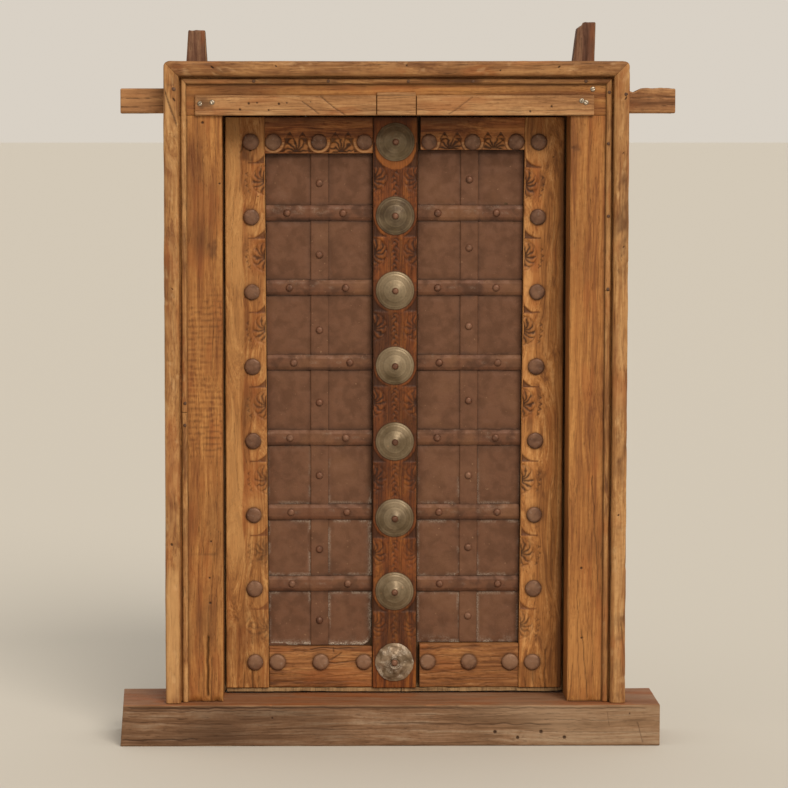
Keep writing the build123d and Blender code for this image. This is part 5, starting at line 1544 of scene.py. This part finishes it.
def pintle(side, low, high):
    """A round pin on the leaf's axis, from its foot to its top."""
    turn = np.linspace(0, 2 * math.pi, 28, endpoint=False)
    x, y = HINGE_X + PINTLE_RADIUS * np.cos(turn), HINGE_Y + PINTLE_RADIUS * np.sin(turn)
    return sweep(np.stack([x, y, turn * 0], 1), np.array([low, low + 2, high]), leaf_place(side), None, 1.0)


def ledge(side, number, z):
    """A bar across the planks' back with its arrises taken off, worn and split at its back."""
    start, end = INNER_EDGE[side] + 20, 315
    section = box_section(z - 30, z + 30, PLANK_BACK, LEDGE_BACK, (0.5, 0.5, 4, 4), (9, 4, 4, 4))
    split = (z + 4, start + 40, z + 6, 250, 0.8, 1.4)
    worn = wear(620 + number + 5 * side, [split], (), (), 0.9, 0.5, 0.8, (0, 1))
    return sweep(section, stations(start, end, 5), lambda u, v, t: (side * t, v, u), worn, 3.0)


hanging_radii = (0.4, 12.9, 12.9, 1.2)
hanging_section = box_section(PLANK_JOINT, PLANK_OUTER, PLANK_FRONT, PLANK_BACK, hanging_radii, (9, 5, 7, 8))
along = stations(*PLANK_ENDS, 9)
for side, name in SIDES:
    relief = plank_relief(601 + side, 180, PLANK_OUTER)
    shells = [sweep(hanging_section, along, leaf_place(side), relief, 1.2)]
    shells += [foot_strip(side, PLANK_JOINT, 341), pintle(side, 47, 90), pintle(side, 1282, 1325)]
    make_piece(f"{name}_hanging_plank_aged", shells, plank_teak,
               f"{name}_leaf", "plank_teak", f"{name}_hanging_plank")

    edge, joint = INNER_EDGE[side], PLANK_JOINT - 0.1
    section = box_section(edge, joint, PLANK_FRONT, PLANK_BACK, (0.4, 0.4, 1.2, 2), (9, 8, 7, 8))
    shell = sweep(section, along, leaf_place(side), plank_relief(611 + side, edge, joint), 1.2)
    make_piece(f"{name}_inner_plank_aged", [shell, foot_strip(side, edge + 0.4, joint)], plank_teak,
               f"{name}_leaf", "plank_teak", f"{name}_inner_plank")

    shells = [ledge(side, number, ROWS[row]) for number, row in enumerate((0, 2, 5, 7))]
    make_piece(f"{name}_back_ledges_aged", shells, ledge_teak,
               f"{name}_leaf", "plank_teak", f"{name}_back_ledges")


# Floor, light and camera
# A pale floor, soft daylight from all sides with a broad sun in front, high on the right, and the camera
# at the photograph's angle.

floor_material = bpy.data.materials.new("pale floor")
floor_material.use_nodes = True
floor_shader = floor_material.node_tree.nodes["Principled BSDF"]
floor_shader.inputs["Base Color"].default_value = linear_colour("#cbc8c1")
floor_shader.inputs["Roughness"].default_value = 0.85
mesh = bpy.data.meshes.new("floor")
mesh.from_pydata([(-200, -200, 0), (200, -200, 0), (200, 200, 0), (-200, 200, 0)], [], [(0, 1, 2, 3)])
mesh.materials.append(floor_material)
floor = bpy.data.objects.new("floor", mesh)
bpy.context.scene.collection.objects.link(floor)

world = bpy.data.worlds.new("studio")
bpy.context.scene.world = world
world.use_nodes = True
sky = world.node_tree.nodes["Background"]
sky.inputs["Color"].default_value = linear_colour("#f2e9dc")
sky.inputs["Strength"].default_value = 0.78

sun_light = bpy.data.lights.new("key", "SUN")
sun_light.energy = 2.1
sun_light.angle = math.radians(28)
sun_light.color = linear_colour("#fff3e2")[:3]
sun = bpy.data.objects.new("key", sun_light)
sun.rotation_euler = Vector((-0.28, 0.78, -0.56)).to_track_quat("-Z", "Y").to_euler()
bpy.context.scene.collection.objects.link(sun)

camera_lens = bpy.data.cameras.new("camera")
camera_lens.sensor_width = 36
camera_lens.lens = 146.7
camera_lens.shift_x = 0.0915
camera_lens.shift_y = 0.0015
camera = bpy.data.objects.new("camera", camera_lens)
camera.location = (-0.204, -6.468, 1.248)
camera.rotation_euler = (math.radians(90 - 4.843), 0, math.radians(-0.50))
bpy.context.scene.collection.objects.link(camera)
bpy.context.scene.camera = camera
bpy.context.scene.view_settings.view_transform = "Standard"
